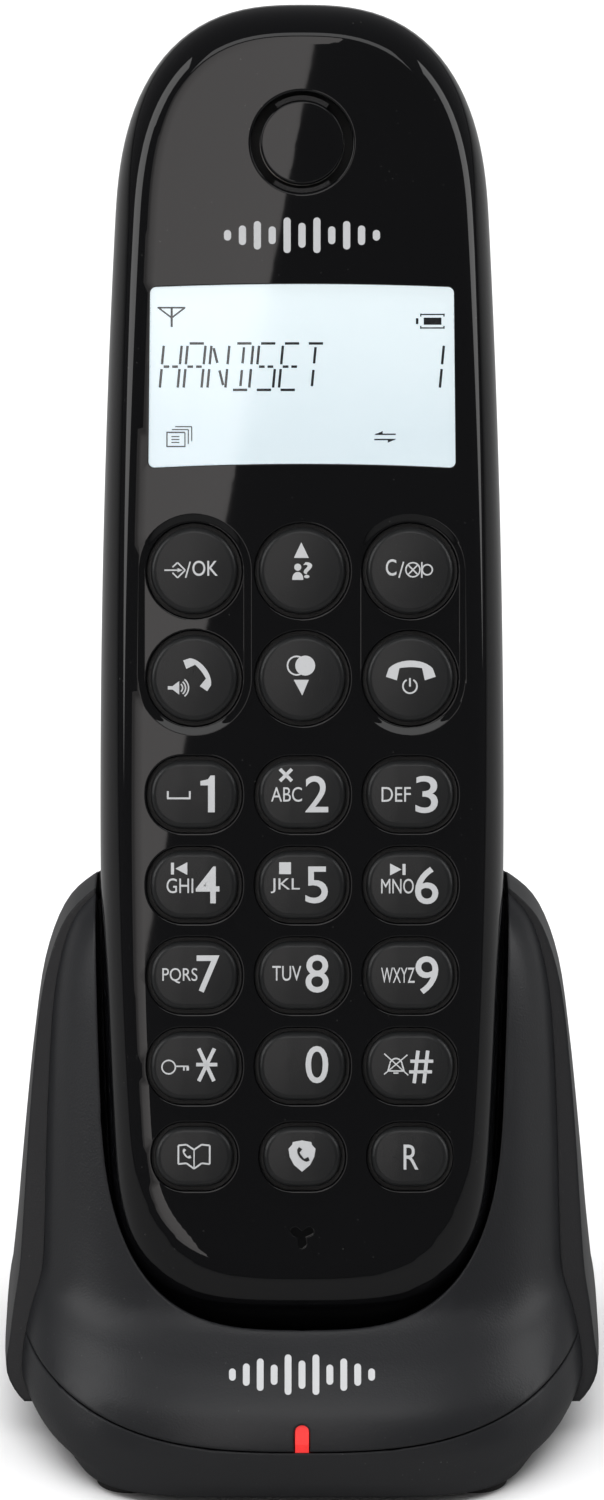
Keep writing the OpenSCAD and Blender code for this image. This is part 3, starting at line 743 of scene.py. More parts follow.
def window_outline(grow):
    """The display window: its upper and lower edges bow, and it is wider at the bottom."""
    low, high = WINDOW_Z - 10.85, WINDOW_Z + 10.5
    corner = 0.7
    points = []
    for i in range(13):
        t = i / 6 - 1
        points.append((-17.95 * t * (1 - corner / 18), high + 0.35 * (1 - t * t)))
    for i in range(13):
        t = i / 6 - 1
        points.append((18.15 * t * (1 - corner / 18), low + 0.45 * (1 - t * t)))
    top, bottom = points[:13], points[13:]
    turned = []
    for sx, sz, anchor in ((1, 1, top[0]), (-1, 1, top[-1]), (-1, -1, bottom[0]),
                           (1, -1, bottom[-1])):
        start = {(1, 1): 0, (-1, 1): 1, (-1, -1): 2, (1, -1): 3}[(sx, sz)]
        turned.append([(anchor[0] + corner * cos(pi / 2 * (start + k / 5)),
                        anchor[1] - sz * corner + corner * sin(pi / 2 * (start + k / 5)))
                       for k in range(6)])
    loop = turned[0][:-1] + top + turned[1][1:] + turned[2][:-1] + bottom + turned[3][1:]
    return grown(loop, grow) if grow else loop


def trefoil(reach=0.98, lobe=0.5, waist=0.42, x=0, z=MIC_Z + 0.25):
    """Three round lobes joined at a hollow-sided middle."""
    points = []
    for leg in range(3):
        aim = radians(-90 + 120 * leg)
        for i in range(9):
            turn = aim + radians(-100 + 25 * i)
            points.append((x + reach * cos(aim) + lobe * cos(turn),
                           z + reach * sin(aim) + lobe * sin(turn)))
        dip = aim + radians(60)
        points.append((x + (waist + 0.06) * cos(dip), z + (waist + 0.06) * sin(dip)))
    return points


def make_rear_case():
    rings = []
    steps = 12
    for i in range(steps, -1, -1):
        turn = pi / 2 * i / steps
        inset = 9 * (1 - max(cos(turn), 0) ** (2 / 2.2))
        rings.append(at_depth(grown(OUTLINE, -inset), 3 + (BACK - 3) * sin(turn) ** (2 / 2.2)))
    rings += [at_depth(OUTLINE, 2), at_depth(OUTLINE, 0)]
    case = wrap("back_shell", rings)
    hollow = [at_depth(grown(OUTLINE, -7.6), BACK - 2.4), at_depth(grown(OUTLINE, -4.4), 9),
              at_depth(grown(OUTLINE, -WALL), 4), at_depth(grown(OUTLINE, -WALL), -1)]
    combine(case, wrap("hollow", hollow))
    tools = [plate("bay", rounded(22.4, 52, 0.6, 0, 92), BACK - 2.5, BACK - 1.5),
             plate("door_recess", rounded(26.3, 64.55, 0.8, 0, 87.87), BACK - 1.6, BACK + 1)]
    for side in (-1, 1):
        tools.append(plate("pad_hole", rounded(4.8, 4, 0.3, side * CONTACT_X, 0.5), 1.2, 6))
    for tool in tools:
        combine(case, tool)
    tools = [plate("sound_hole", circle(0.8, x, z, 20), BACK - 4, BACK + 1)
             for x, z in ringer_spots()]
    for x, z in ((14, 10), (-14, 10), (15.5, 130), (-15.5, 130)):
        tools.append(plate("screw_hole", circle(2.4, x, z, 32), 8.05, BACK + 1))
    combine(case, join(tools))
    modify(case, "BEVEL", width=0.22, segments=2, limit_method="ANGLE", angle_limit=radians(50),
           harden_normals=False, use_clamp_overlap=True)
    smooth(case)
    return case


def ringer_spots():
    """One hole in the middle and six round it."""
    around = [(2.9 * cos(pi / 3 * i), EARPIECE_Z + 2.9 * sin(pi / 3 * i)) for i in range(6)]
    return [(0, EARPIECE_Z)] + around


settle(make_front_case(), "handset", HANDSET, "gloss_black", ["front_case"])
settle(make_rear_case(), "handset", HANDSET, "satin_black", ["rear_case"])


# ---------- keys ----------

def crown(x, z):
    """How far a key's top has dropped towards its edge."""
    return 0.010 * (x * x + z * z)


def make_cap(name, size):
    """A key cap: flange, sides, a soft upper edge and a slightly crowned top."""
    width, height, corner = size
    flange = 0.75
    cap = plate(name, rounded(width + 2 * flange, height + 2 * flange, corner + flange),
                -7.1, -7.9)
    pick(cap, lambda centre, normal: normal.y < -0.9)
    bpy.ops.mesh.inset(thickness=flange)
    bpy.ops.mesh.extrude_region_move(TRANSFORM_OT_translate={"value": (0, KEY_TOP + 7.9, 0)})
    bpy.ops.mesh.bevel(offset=0.75, segments=6, profile=0.5, clamp_overlap=False)
    leave()
    pick(cap, lambda centre, normal: centre.y < KEY_TOP + 0.01 and normal.y < -0.95)
    for _ in range(4):
        bpy.ops.mesh.inset(thickness=0.21 * (height / 2 - 0.75))
    leave()
    for vertex in cap.data.vertices:
        if vertex.co.y < -9:
            vertex.co.y += crown(vertex.co.x, vertex.co.z)
    smooth(cap)
    return cap


MARK_THICK = 0.03


def flat_shapes(name, polygons):
    """Thin raised shapes from (x, z) polygons, standing on depth 0 towards -Y."""
    points = []
    faces = []
    for polygon in polygons:
        faces.append(tuple(range(len(points), len(points) + len(polygon))))
        points += [(x, 0, z) for x, z in polygon]
    mesh = bpy.data.meshes.new(name)
    mesh.from_pydata(points, [], faces)
    piece = bpy.data.objects.new(name, mesh)
    bpy.context.scene.collection.objects.link(piece)
    edit_all(piece)
    bpy.ops.mesh.quads_convert_to_tris()
    leave()
    for face in piece.data.polygons:
        if face.normal.y > 0:
            face.flip()
    modify(piece, "SOLIDIFY", thickness=MARK_THICK, offset=1)
    return piece


def sliced(piece, step):
    """Cuts a mark along even planes, so that it can follow a curved face."""
    edit_all(piece)
    for axis in (0, 2):
        places = [v.co[axis] for v in piece.data.vertices] or [0]
        normal = (1, 0, 0) if axis == 0 else (0, 0, 1)
        for i in range(int(min(places) / step), int(max(places) / step) + 1):
            bpy.ops.mesh.select_all(action="SELECT")
            spot = Vector(normal) * (i + 0.5) * step
            bpy.ops.mesh.bisect(plane_co=spot, plane_no=normal)
    leave()
    return piece


def lettering(text, left, right, low, high, weight=0.0):
    """A word fitted to a rectangle, as a thin raised mesh."""
    deselect_all()
    bpy.ops.object.text_add()
    word = bpy.context.object
    word.data.body = text
    word.data.size = 4
    word.data.offset = weight
    word.data.extrude = MARK_THICK / 2
    word.data.resolution_u = 5
    take(word)
    bpy.ops.object.convert(target="MESH")
    word = bpy.context.object
    xs = [v.co.x for v in word.data.vertices]
    ys = [v.co.y for v in word.data.vertices]
    wide = (right - left) / (max(xs) - min(xs))
    tall = (high - low) / (max(ys) - min(ys))
    for vertex in word.data.vertices:
        x, y, z = vertex.co
        vertex.co = (left + (x - min(xs)) * wide, -z - MARK_THICK / 2, low + (y - min(ys)) * tall)
    tidy_mesh(word)
    return word


def line(points, width):
    """A stroke of even width as one quad per stretch."""
    quads = []
    for (x0, z0), (x1, z1) in zip(points, points[1:]):
        along = Vector((x1 - x0, z1 - z0)).normalized() * width / 2
        side = Vector((-along.y, along.x))
        quads.append([(x0 - side.x, z0 - side.y), (x1 - side.x, z1 - side.y),
                      (x1 + side.x, z1 + side.y), (x0 + side.x, z0 + side.y)])
    return quads


def arc(x, z, radius, width, start=0, end=360, steps=20):
    """Part of a ring, as quads."""
    quads = []
    for i in range(steps):
        a = radians(start + (end - start) * i / steps)
        b = radians(start + (end - start) * (i + 1) / steps)
        near, far = radius - width / 2, radius + width / 2
        quads.append([(x + r * cos(t), z + r * sin(t))
                      for r, t in ((near, a), (far, a), (far, b), (near, b))])
    return quads


def disc(x, z, radius, steps=24):
    return [circle(radius, x, z, steps)]


def receiver(x, z, size, turn):
    """A telephone receiver: an arched grip with two square ends."""
    outline = []
    for i in range(13):
        a = radians(150 - 120 * i / 12)
        outline.append((1.0 * cos(a), 0.62 * sin(a) - 0.31))
    outline += [(0.98, -0.33), (0.55, -0.47), (0.47, -0.1)]
    for i in range(9):
        a = radians(62 + 56 * i / 8)
        outline.append((0.95 * cos(a), 0.36 * sin(a) - 0.31 + 0.0))
    outline += [(-0.47, -0.1), (-0.55, -0.47), (-0.98, -0.33)]
    place = Matrix.Rotation(radians(turn), 2)
    return [[tuple(Vector((x, z)) + place @ Vector(p) * size) for p in outline]]


def legend_shapes():
    """The signs on the keys, as polygons about each key's middle."""
    thin = 0.17
    shapes = {}
    shapes["key_menu_ok"] = (
        line([(-2.55, 0.4), (-1.95, 0.95), (-1.05, 0.05), (-1.95, -0.85), (-2.55, -0.25)], thin)
        + line([(-3.5, 0.05), (-1.85, 0.05)], thin)
        + [[(-1.95, 0.3), (-1.35, 0.05), (-1.95, -0.2)]]
        + line([(-1.0, -0.85), (-0.45, 1.05)], thin))
    shapes["key_up"] = (
        [[(-0.95, 1.5), (0.8, 1.5), (-0.08, 3.35)]] + disc(-0.5, 0.4, 0.42)
        + [[(-1.15, -1.1)] + [(-0.5 + 0.65 * cos(radians(180 - 18 * i)),
                               -0.95 + 0.8 * sin(radians(180 - 18 * i))) for i in range(11)]
           + [(0.15, -1.1)]])
    shapes["key_clear_mute"] = (
        line([(-1.3, -0.85), (-0.75, 1.05)], thin) + arc(0.35, 0.1, 0.84, thin)
        + line([(-0.22, 0.67), (0.92, -0.47)], thin) + line([(-0.22, -0.47), (0.92, 0.67)], thin)
        + line([(1.4, 1.0), (1.4, -0.85)], thin) + arc(2.05, 0.1, 0.6, thin))
    shapes["key_talk"] = (
        receiver(0.75, 0.75, 2.35, -52)
        + [[(-3.1, -0.95), (-2.55, -0.95), (-1.75, -0.35), (-1.75, -1.95), (-2.55, -1.35),
            (-3.1, -1.35)]]
        + arc(-1.9, -1.15, 0.55, thin, -52, 52) + arc(-1.9, -1.15, 0.9, thin, -52, 52)
        + arc(-1.9, -1.15, 1.25, thin, -52, 52))
    shapes["key_down"] = (
        arc(-0.62, 1.48, 1.1, thin + 0.02) + disc(0.38, 1.48, 1.18)
        + [[(-0.98, -0.2), (0.03, -2.05), (0.8, -0.2)]])
    shapes["key_end_power"] = (
        receiver(0.1, 1.15, 3.0, 0) + arc(0, -0.95, 0.83, thin + 0.03, 118, 422)
        + line([(0, 0.0), (0, -1.0)], thin + 0.05))
    shapes["key_1"] = line([(-3.1, 0.4), (-3.1, -0.45)], 0.22) + line(
        [(-3.2, -0.45), (-0.4, -0.45)], 0.22) + line([(-0.5, -0.45), (-0.5, 0.4)], 0.22) + [
        [(1.65, -2.1), (2.45, -2.1), (2.45, 2.25), (1.95, 2.25), (1.65, 1.8), (0.75, 1.6),
         (0.75, 1.08), (1.65, 1.08)]]
    shapes["key_2"] = line([(-2.6, 1.6), (-1.2, 3.0)], 0.4) + line([(-2.6, 3.0), (-1.2, 1.6)], 0.4)
    shapes["key_4"] = line([(-2.55, 2.65), (-2.55, 1.25)], 0.36) + [
        [(-2.2, 1.95), (-0.8, 2.7), (-0.8, 1.2)]]
    shapes["key_5"] = [[(-2.7, 1.3), (-1.3, 1.3), (-1.3, 2.7), (-2.7, 2.7)]]
    shapes["key_6"] = line([(-0.7, 2.5), (-0.7, 1.2)], 0.36) + [
        [(-1.0, 1.85), (-2.35, 2.55), (-2.35, 1.15)]]
    shapes["key_star"] = (
        arc(-3.0, -0.1, 0.8, thin) + line([(-2.2, 0), (-0.65, 0)], thin)
        + line([(-0.75, 0), (-0.75, -0.5)], 0.3) + line([(-1.2, 0), (-1.2, -0.5)], 0.2)
        + line([(0.25, 0.2), (2.75, 0.2)], 0.42)
        + line([(0.55, 2.1), (2.35, -1.75)], 0.44) + line([(2.4, 2.1), (0.55, -1.75)], 0.44))
    shapes["key_hash"] = (
        line([(-3.05, 1.5), (-0.2, -1.05)], 0.14) + line([(-3.05, -0.95), (-0.3, 1.35)], 0.14)
        + arc(-1.65, 0.2, 0.72, thin, 15, 165)
        + line([(-2.35, 0.35), (-2.6, -0.55), (-0.7, -0.55), (-0.95, 0.35)], thin)
        + line([(-1.95, -0.8), (-1.35, -0.8)], 0.16)
        + line([(0.5, -2.0), (0.95, 1.85)], 0.42) + line([(1.65, -2.0), (2.1, 1.85)], 0.42)
        + line([(0.05, 0.6), (2.75, 0.6)], 0.38) + line([(-0.1, -0.65), (2.6, -0.65)], 0.38))
    shapes["key_phonebook"] = (
        line([(-1.85, 1.35), (-1.85, -0.85), (-0.9, -0.75), (0, -1.4), (0.9, -0.75),
              (1.85, -0.85), (1.85, 1.35), (0.9, 1.45), (0, 0.85), (-0.9, 1.45),
              (-1.85, 1.35)], 0.2)
        + line([(0, 0.85), (0, -1.3)], 0.14) + receiver(-0.95, 0.3, 0.72, 128))
    shield = [(-1.6, 0.95), (-1.15, 1.45), (-1.1, 1.75), (0, 1.95), (1.1, 1.75), (1.15, 1.45),
              (1.6, 0.95), (1.45, 0), (0.95, -0.95), (0, -1.75), (-0.95, -0.95), (-1.45, 0)]
    shapes["key_call_block"] = [shield]
    return shapes


WORDS = {
    "key_menu_ok": [("OK", -0.2, 2.8, -0.63, 1.17, 0.02)],
    "key_up": [("?", 0.15, 1.2, -0.9, 1.0, 0.06)],
    "key_clear_mute": [("C", -2.85, -1.6, -0.6, 1.35, 0.03)],
    "key_2": [("ABC", -3.65, 0.0, -0.85, 0.88, 0.0), ("2", 0.4, 3.1, -2.1, 2.2, 0.025)],
    "key_3": [("DEF", -3.35, 0.1, -0.85, 0.88, 0.0), ("3", 0.65, 3.3, -2.2, 2.2, 0.025)],
    "key_4": [("GHI", -3.25, -0.1, -0.95, 0.8, 0.0), ("4", 0.2, 3.0, -2.15, 2.2, 0.025)],
    "key_5": [("JKL", -3.7, -0.25, -0.95, 0.8, 0.0), ("5", 0.4, 3.05, -2.15, 2.2, 0.025)],
    "key_6": [("MNO", -3.4, 0.45, -1.0, 0.75, 0.0), ("6", 0.6, 3.35, -2.25, 2.15, 0.025)],
    "key_7": [("PQRS", -3.75, 0.4, -0.9, 0.9, 0.0), ("7", 0.3, 3.0, -2.0, 2.4, 0.025)],
    "key_8": [("TUV", -3.5, -0.1, -0.6, 1.15, 0.0), ("8", 0.42, 3.15, -2.0, 2.45, 0.025)],
    "key_9": [("WXYZ", -3.4, 0.55, -0.85, 0.95, 0.0), ("9", 0.65, 3.35, -2.15, 2.3, 0.025)],
    "key_0": [("0", 0.42, 3.1, -2.0, 2.4, 0.025)],
    "key_recall": [("R", -0.75, 1.0, -1.5, 1.45, 0.0)],
}


def make_keys():
    caps = {shape: make_cap(shape + "_cap", size) for shape, size in CAPS.items()}
    shapes = legend_shapes()
    for name, column, row, shape in KEYS:
        cap = copy_of(caps[shape], "cap_" + name)
        cap.data.materials.append(FINISH["key_grey"])
        marks = [lettering(*word) for word in WORDS.get(name, [])]
        if name in shapes:
            marks.append(flat_shapes("signs", shapes[name]))
        if name == "key_call_block":
            inlay = flat_shapes("inlay", receiver(0, 0.15, 1.05, 128))
            inlay.data.transform(Matrix.Translation((0, -MARK_THICK, 0)))
            inlay.data.materials.append(FINISH["key_grey"])
        if marks:
            for mark in marks:
                mark.data.materials.clear()
                mark.data.materials.append(FINISH["key_mark"])
            if name == "key_call_block":
                marks.append(inlay)
            mark = sliced(join(marks), 0.9)
            for vertex in mark.data.vertices:
                vertex.co.y += KEY_TOP + crown(vertex.co.x, vertex.co.z) - 0.004
            cap = join([cap, mark])
        cap.data.transform(Matrix.Translation((column * COLUMN, 0, ROWS[row])))
        settle(cap, name, HANDSET, "key_grey", [name], finish=None)
    for cap in caps.values():
        bpy.data.objects.remove(cap)


make_keys()


# ---------- display ----------

def make_display():
    lens = plate("display_glass", window_outline(-0.06), FACE + 1.2, FACE + 0.02)
    round_rim(lens, FACE + 0.02, 0.08, 2)
    smooth(lens)
    settle(lens, "handset", HANDSET, "display_lens", ["display_window"])


SEGMENTS = {
    "a": ((0.1, 1), (0.9, 1)), "b": ((1, 0.95), (1, 0.55)), "c": ((1, 0.45), (1, 0.05)),
    "d": ((0.1, 0), (0.9, 0)), "e": ((0, 0.45), (0, 0.05)), "f": ((0, 0.95), (0, 0.55)),
    "g": ((0.1, 0.5), (0.42, 0.5)), "h": ((0.58, 0.5), (0.9, 0.5)),
    "i": ((0.14, 0.9), (0.42, 0.58)), "j": ((0.5, 0.92), (0.5, 0.57)),
    "k": ((0.86, 0.9), (0.58, 0.58)), "l": ((0.14, 0.1), (0.42, 0.42)),
    "m": ((0.5, 0.08), (0.5, 0.43)), "n": ((0.86, 0.1), (0.58, 0.42)),
}
GLYPHS = {"H": "bcefgh", "A": "abcefgh", "N": "bcefin", "D": "abcdjm", "S": "acdfgh",
          "E": "adefgh", "T": "ajm", "1": "bc", " ": ""}


def make_display_marks():
    """What the display shows: its greeting in segment letters and four small signs."""
    polygons = []
    wide, tall, pitch, slant = 2.12, 5.5, 2.82, 0.094
    for place, letter in enumerate("HANDSET    1"):
        for segment in GLYPHS[letter]:
            ends = []
            for u, v in SEGMENTS[segment]:
                z = v * tall
                ends.append((-16.85 + place * pitch + u * wide + z * slant, 111.97 + z))
            polygons += line(ends, 0.3)
    # aerial
    polygons += line([(-17.1, 121.7), (-13.8, 121.7)], 0.2)
    polygons += line([(-17.0, 121.7), (-15.42, 120.5), (-13.85, 121.7)], 0.2)
    polygons += line([(-15.42, 121.7), (-15.42, 119.4)], 0.26)
    # cell
    polygons += line([(14.05, 120.9), (16.8, 120.9)], 0.16) + line([(14.05, 119.3), (16.8, 119.3)],
                                                                   0.16)
    for x in (14.05, 16.8):
        polygons += line([(x, 119.2), (x, 119.55)], 0.16) + line([(x, 120.65), (x, 121.0)], 0.16)
    polygons += line([(14.4, 120.1), (16.5, 120.1)], 0.85) + line([(13.62, 119.75),
                                                                   (13.62, 120.45)], 0.3)
    # pages
    for x, z in ((-15.1, 106.6), (-14.7, 106.95), (-14.3, 107.3)):
        polygons += line([(x - 0.7, z + 0.32), (x + 1.25, z + 0.32), (x + 1.25, z - 1.4)], 0.14)
    polygons += line([(-15.98, 107.0), (-15.98, 105.2)], 0.16)
    polygons += line([(-16.05, 105.27), (-13.85, 105.27)], 0.16)
    polygons += line([(-16.05, 106.95), (-13.85, 106.95)], 0.16)
    for z in (106.45, 106.1, 105.75):
        polygons += line([(-15.45, z), (-14.5, z)], 0.14)
    # two arrows
    polygons += line([(8.7, 106.72), (11.1, 106.72)], 0.17) + [
        [(8.5, 106.64), (9.55, 106.64), (9.55, 107.1)]]
    polygons += line([(8.55, 106.1), (10.95, 106.1)], 0.17) + [
        [(11.2, 106.18), (10.15, 106.18), (10.15, 105.72)]]
    marks = flat_shapes("display_marks", polygons)
    marks.data.transform(Matrix.Translation((0, -8.31, 0)))
    settle(marks, "handset", HANDSET, "lcd_face", finish="lcd_ink")


make_display()
make_display_marks()


# ---------- earpiece and marks on the face ----------

def make_earpiece():
    button = plate("earpiece_disc", circle(4.95, 0, EARPIECE_Z, 72), -8.0, -9.98)
    round_rim(button, -9.98, 0.3, 5)
    smooth(button)
    settle(button, "handset", HANDSET, "gloss_black", ["earpiece_insert"])
    ledges = []
    for radius, wide, start in ((5.3, 0.55, 55), (5.68, 0.5, 235)):
        turns = [radians(start + 70 * i / 20) for i in range(21)]
        outline = [(r * cos(t), EARPIECE_Z + r * sin(t))
                   for r, along in ((radius + wide / 2, turns), (radius - wide / 2, turns[::-1]))
                   for t in along]
        ledges.append(plate("ledge", outline, -8.0, -9.35))
    ledge = join(ledges)
    ledge.name = "earpiece_ledges"
    smooth(ledge)
    settle(ledge, "handset", HANDSET, "satin_black")


BAR_HEIGHTS = (0.3, 0.55, 0.8, 0.5, 1.0, 0.7, 1.0, 0.5, 0.8, 0.55, 0.3)


def level_bars(width, height, x, z, thick):
    """A plain row of upright bars, like a sound level, with rounded ends."""
    bars = []
    step = width / (len(BAR_HEIGHTS) - 1)
    for i, share in enumerate(BAR_HEIGHTS):
        bars.append(rounded(thick, height * share, thick / 2 - 0.01, x - width / 2 + i * step, z,
                            5))
    return bars


def make_face_marks():
    bars = flat_shapes("face_mark", level_bars(17.6, 4.2, 0, 130.2, 0.85))
    bars.data.transform(Matrix.Translation((0, FACE - 0.005, 0)))
    settle(bars, "handset", HANDSET, "key_grey", finish="key_mark")


make_earpiece()
make_face_marks()


# ---------- base shells ----------

def drawn_in(station, d):
    front, low, back, high, wide, behind, power = station
    return (front + d, low, back - d, high, wide - d, behind - d, power)


def between(before, here, after, beyond, t):
    """A smooth step from one station to the next."""
    return [0.5 * (2 * q + (r - p) * t + (2 * p - 5 * q + 4 * r - s) * t * t
                   + (3 * q - p - 3 * r + s) * t ** 3)
            for p, q, r, s in zip(before, here, after, beyond)]


def station_steps(per):
    """The stations with smooth ones added between them."""
    steps = []
    last = len(STATIONS) - 1
    for i in range(last):
        four = [STATIONS[min(max(i + k, 0), last)] for k in (-1, 0, 1, 2)]
        steps += [between(*four, k / per) for k in range(per)]
    return steps + [list(STATIONS[-1])]


def base_ring(station, wide, front_power, points):
    front = Vector(station[0:2])
    back = Vector(station[2:4])
    middle, half = (front + back) / 2, (back - front) / 2
    ring = []
    for i in range(points):
        turn = 2 * pi * i / points
        power = 2 / (front_power if sin(turn) < 0 else 4)
        along = middle + half * copysign(abs(sin(turn)) ** power, sin(turn))
        ring.append((copysign(wide * abs(cos(turn)) ** power, cos(turn)), along.x, along.y))
    return ring


def base_form(name, draw=0.0, rear=False, points=160, per=4, top=0, floor=0.0):
    """The base's closed outer form, or that form drawn in for a hollow."""
    rings = []
    steps = station_steps(per)
    for station in steps[:len(steps) - top]:
        if station[1] < floor:
            continue
        s = drawn_in(station, draw)
        if rear:
            rings.append(base_ring(s, s[5], max(s[6], 3.6), points))
        else:
            rings.append(base_ring(s, s[4], s[6], points))
    return wrap(name, rings)


def block(name, low, high, place=None):
    """A plain cutting block between two corners."""
    deselect_all()
    bpy.ops.mesh.primitive_cube_add(size=1)
    piece = bpy.context.object
    piece.name = name
    low, high = Vector(low), Vector(high)
    piece.data.transform(Matrix.Translation((low + high) / 2)
                         @ Matrix.Diagonal((*(high - low), 1)))
    if place:
        piece.data.transform(place)
    return piece


def pocket_form(grow, back, rise=0.0):
    """The room the handset stands in; rise lifts its lower edge, as the front lip does."""
    def step(point):
        down = 1 - min(max(point[1], 0) / LOWER_SWEEP, 1)
        return grow - rise * down * down * (3 - 2 * down)
    form = plate("pocket", grown(OUTLINE, step), -40, back)
    form.data.transform(LEANED)
    return form


def behind_split(y):
    return block("behind_split", (-70, y, -70), (70, 90, 200), LEANED)


def front_seam(name, lift, up):
    """Everything over the curved front seam, or everything under it."""
    reach = 40
    points = [(reach * i / 30, seam_height(reach * i / 30) + lift) for i in range(-30, 31)]
    far = 100 if up else -20
    return plate(name, points + [(reach, far), (-reach, far)], 60, -60)


def tube(name, x, z, radius, low, high, steps=48):
    return plate(name, circle(radius, x, z, steps), high, low)


def seam_height(x):
    return 7.5 + 4.1 * abs(x / 31.5) ** 2.9


def finish_shell(shell, merge=0.12):
    """Clears slivers and smooths; the material rounds the edges in its shading."""
    edit_all(shell)
    bpy.ops.mesh.remove_doubles(threshold=merge)
    bpy.ops.mesh.dissolve_degenerate(threshold=0.03)
    leave()
    smooth(shell, 30)


def make_base_mark(shell):
    """The same plain bars, laid on the curved front below the pocket."""
    bars = sliced(flat_shapes("base_mark", level_bars(16.4, 4.6, 0, -4.2, 0.8)), 0.55)
    bars.data.transform(Matrix.Translation((0, -60, 0)))
    bars.data.transform(LEANED)
    inward = (LEANED.to_3x3() @ Vector((0, 1, 0))).normalized()
    skin = BVHTree.FromPolygons([v.co for v in shell.data.vertices],
                                [tuple(f.vertices) for f in shell.data.polygons])
    for vertex in bars.data.vertices:
        raised = (LEANED.inverted() @ vertex.co).y + 60
        start = vertex.co - inward * 5
        spot = skin.ray_cast(start, inward)[0]
        vertex.co = spot + inward * (raised - 0.012)
    bars.data.update()
    settle(bars, "base", BASE, "key_grey", finish="key_mark")


def make_front_shell():
    shell = base_form("front_shell")
    combine(shell, base_form("hollow", BASE_WALL, points=96, top=12, floor=BASE_FLOOR))
    combine(shell, behind_split(SPLIT))
    combine(shell, pocket_form(POCKET_GAP, BACK + POCKET_GAP, LIP_RISE))
    combine(shell, front_seam("below", SEAM_GAP, False))
    combine(shell, light_hole())
    finish_shell(shell)
    make_base_mark(shell)
    settle(shell, "base", BASE, "base_charcoal", ["base_front_shell"])


def light_hole():
    return plate("light_hole", rounded(1.9, 3.9, 0.94, 0, 8.55), -28, -40)


def make_pocket_tub():
    """The tub that the handset stands in, inside the shells."""
    room = base_form("room", 2.3, points=96, top=10, floor=BASE_FLOOR)
    ahead = base_form("ahead", 1.3, points=96, top=8, floor=BASE_FLOOR)
    combine(ahead, behind_split(SPLIT - 0.2))
    combine(room, ahead, "UNION")
    tub = pocket_form(POCKET_GAP + POCKET_WALL, BACK + POCKET_GAP + POCKET_WALL)
    combine(tub, room, "INTERSECT")
    combine(tub, block("under", (-60, -60, -5), (60, 60, 7.8)))
    combine(tub, pocket_form(POCKET_GAP + 0.01, BACK + POCKET_GAP))
    for side in (-1, 1):
        slot = block("contact_slot", (side * CONTACT_X - 1.3, 2.1, -6),
                     (side * CONTACT_X + 1.3, 4.9, 1), LEANED)
        combine(tub, slot)
    tub.name = "pocket_tub"
    smooth(tub)
    settle(tub, "base", BASE, "base_charcoal")


def make_rear_shell():
    shell = base_form("rear_shell", rear=True)
    combine(shell, base_form("hollow", BASE_WALL, points=96, top=12, floor=BASE_FLOOR))
    ahead = block("ahead", (-70, -90, -70), (70, SPLIT + 0.45, 200), LEANED)
    combine(shell, ahead)
    combine(shell, block("below", (-60, -60, -5), (60, 60, 4.3)))
    combine(shell, pocket_form(POCKET_GAP, BACK + POCKET_GAP))
    combine(shell, plate("line_opening", rounded(10.8, 7.6, 0.6, -SOCKET_X, SOCKET_Z), 45, 30))
    combine(shell, tube("power_opening", SOCKET_X, SOCKET_Z, 4, 30, 45))
    combine(shell, tube("page_opening", 0, SOCKET_Z, 3.8, 30, 45))
    finish_shell(shell)
    settle(shell, "base", BASE, "base_charcoal", ["base_rear_shell"])


def make_tray():
    tray = base_form("bottom_tray", top=36)
    combine(tray, base_form("hollow", BASE_WALL, points=96, top=32, floor=BASE_FLOOR))
    combine(tray, front_seam("above", -SEAM_GAP, True))
    rear_room = block("rear_room", (-70, SPLIT + 0.15, -70), (70, 90, 200), LEANED)
    combine(rear_room, block("keep", (-90, -90, 4.18), (90, 90, 300)), "INTERSECT")
    combine(tray, rear_room)
    tools = []
    for places, sides, radius, depth, z in ((SCREWS, 32, 2.8, 8, 1), (FEET, 48, 3.9, 3.6, 0)):
        for x, y in places:
            deselect_all()
            bpy.ops.mesh.primitive_cylinder_add(vertices=sides, radius=radius, depth=depth,
                                                location=(x, y, z))
            bpy.ops.object.transform_apply(location=True)
            tools.append(bpy.context.object)
    combine(tray, join(tools))
    finish_shell(tray)
    settle(tray, "base", BASE, "base_charcoal", ["base_bottom_tray"])


make_front_shell()
make_pocket_tub()
make_rear_shell()
make_tray()


# ---------- camera, lights and floor ----------

def add_camera():
    data = bpy.data.cameras.new("camera")
    data.sensor_fit = "VERTICAL"
    data.sensor_height = 24
    data.lens = 24 * 1200 / 177.3
    data.clip_start = 0.05
    data.clip_end = 50
    camera = bpy.data.objects.new("camera", data)
    bpy.context.scene.collection.objects.link(camera)
    spot = HANDSET @ Vector((0, FACE - 1200, 69.36))
    camera.matrix_world = (Matrix.Translation(spot) @ UPRIGHT.inverted()
                           @ Matrix.Rotation(pi / 2, 4, "X"))
    bpy.context.scene.camera = camera
    return camera


def add_area(name, spot, target, wide, tall, power, colour=(1, 1, 1)):
    data = bpy.data.lights.new(name, "AREA")
    data.shape = "RECTANGLE"
    data.size, data.size_y = wide, tall
    data.energy = power
    data.color = colour
    lamp = bpy.data.objects.new(name, data)
    bpy.context.scene.collection.objects.link(lamp)
    aim = (Vector(target) - Vector(spot)).to_track_quat("-Z", "Y").to_matrix().to_4x4()
    lamp.matrix_world = Matrix.Translation(spot) @ aim
    lamp.visible_camera = False
    return lamp


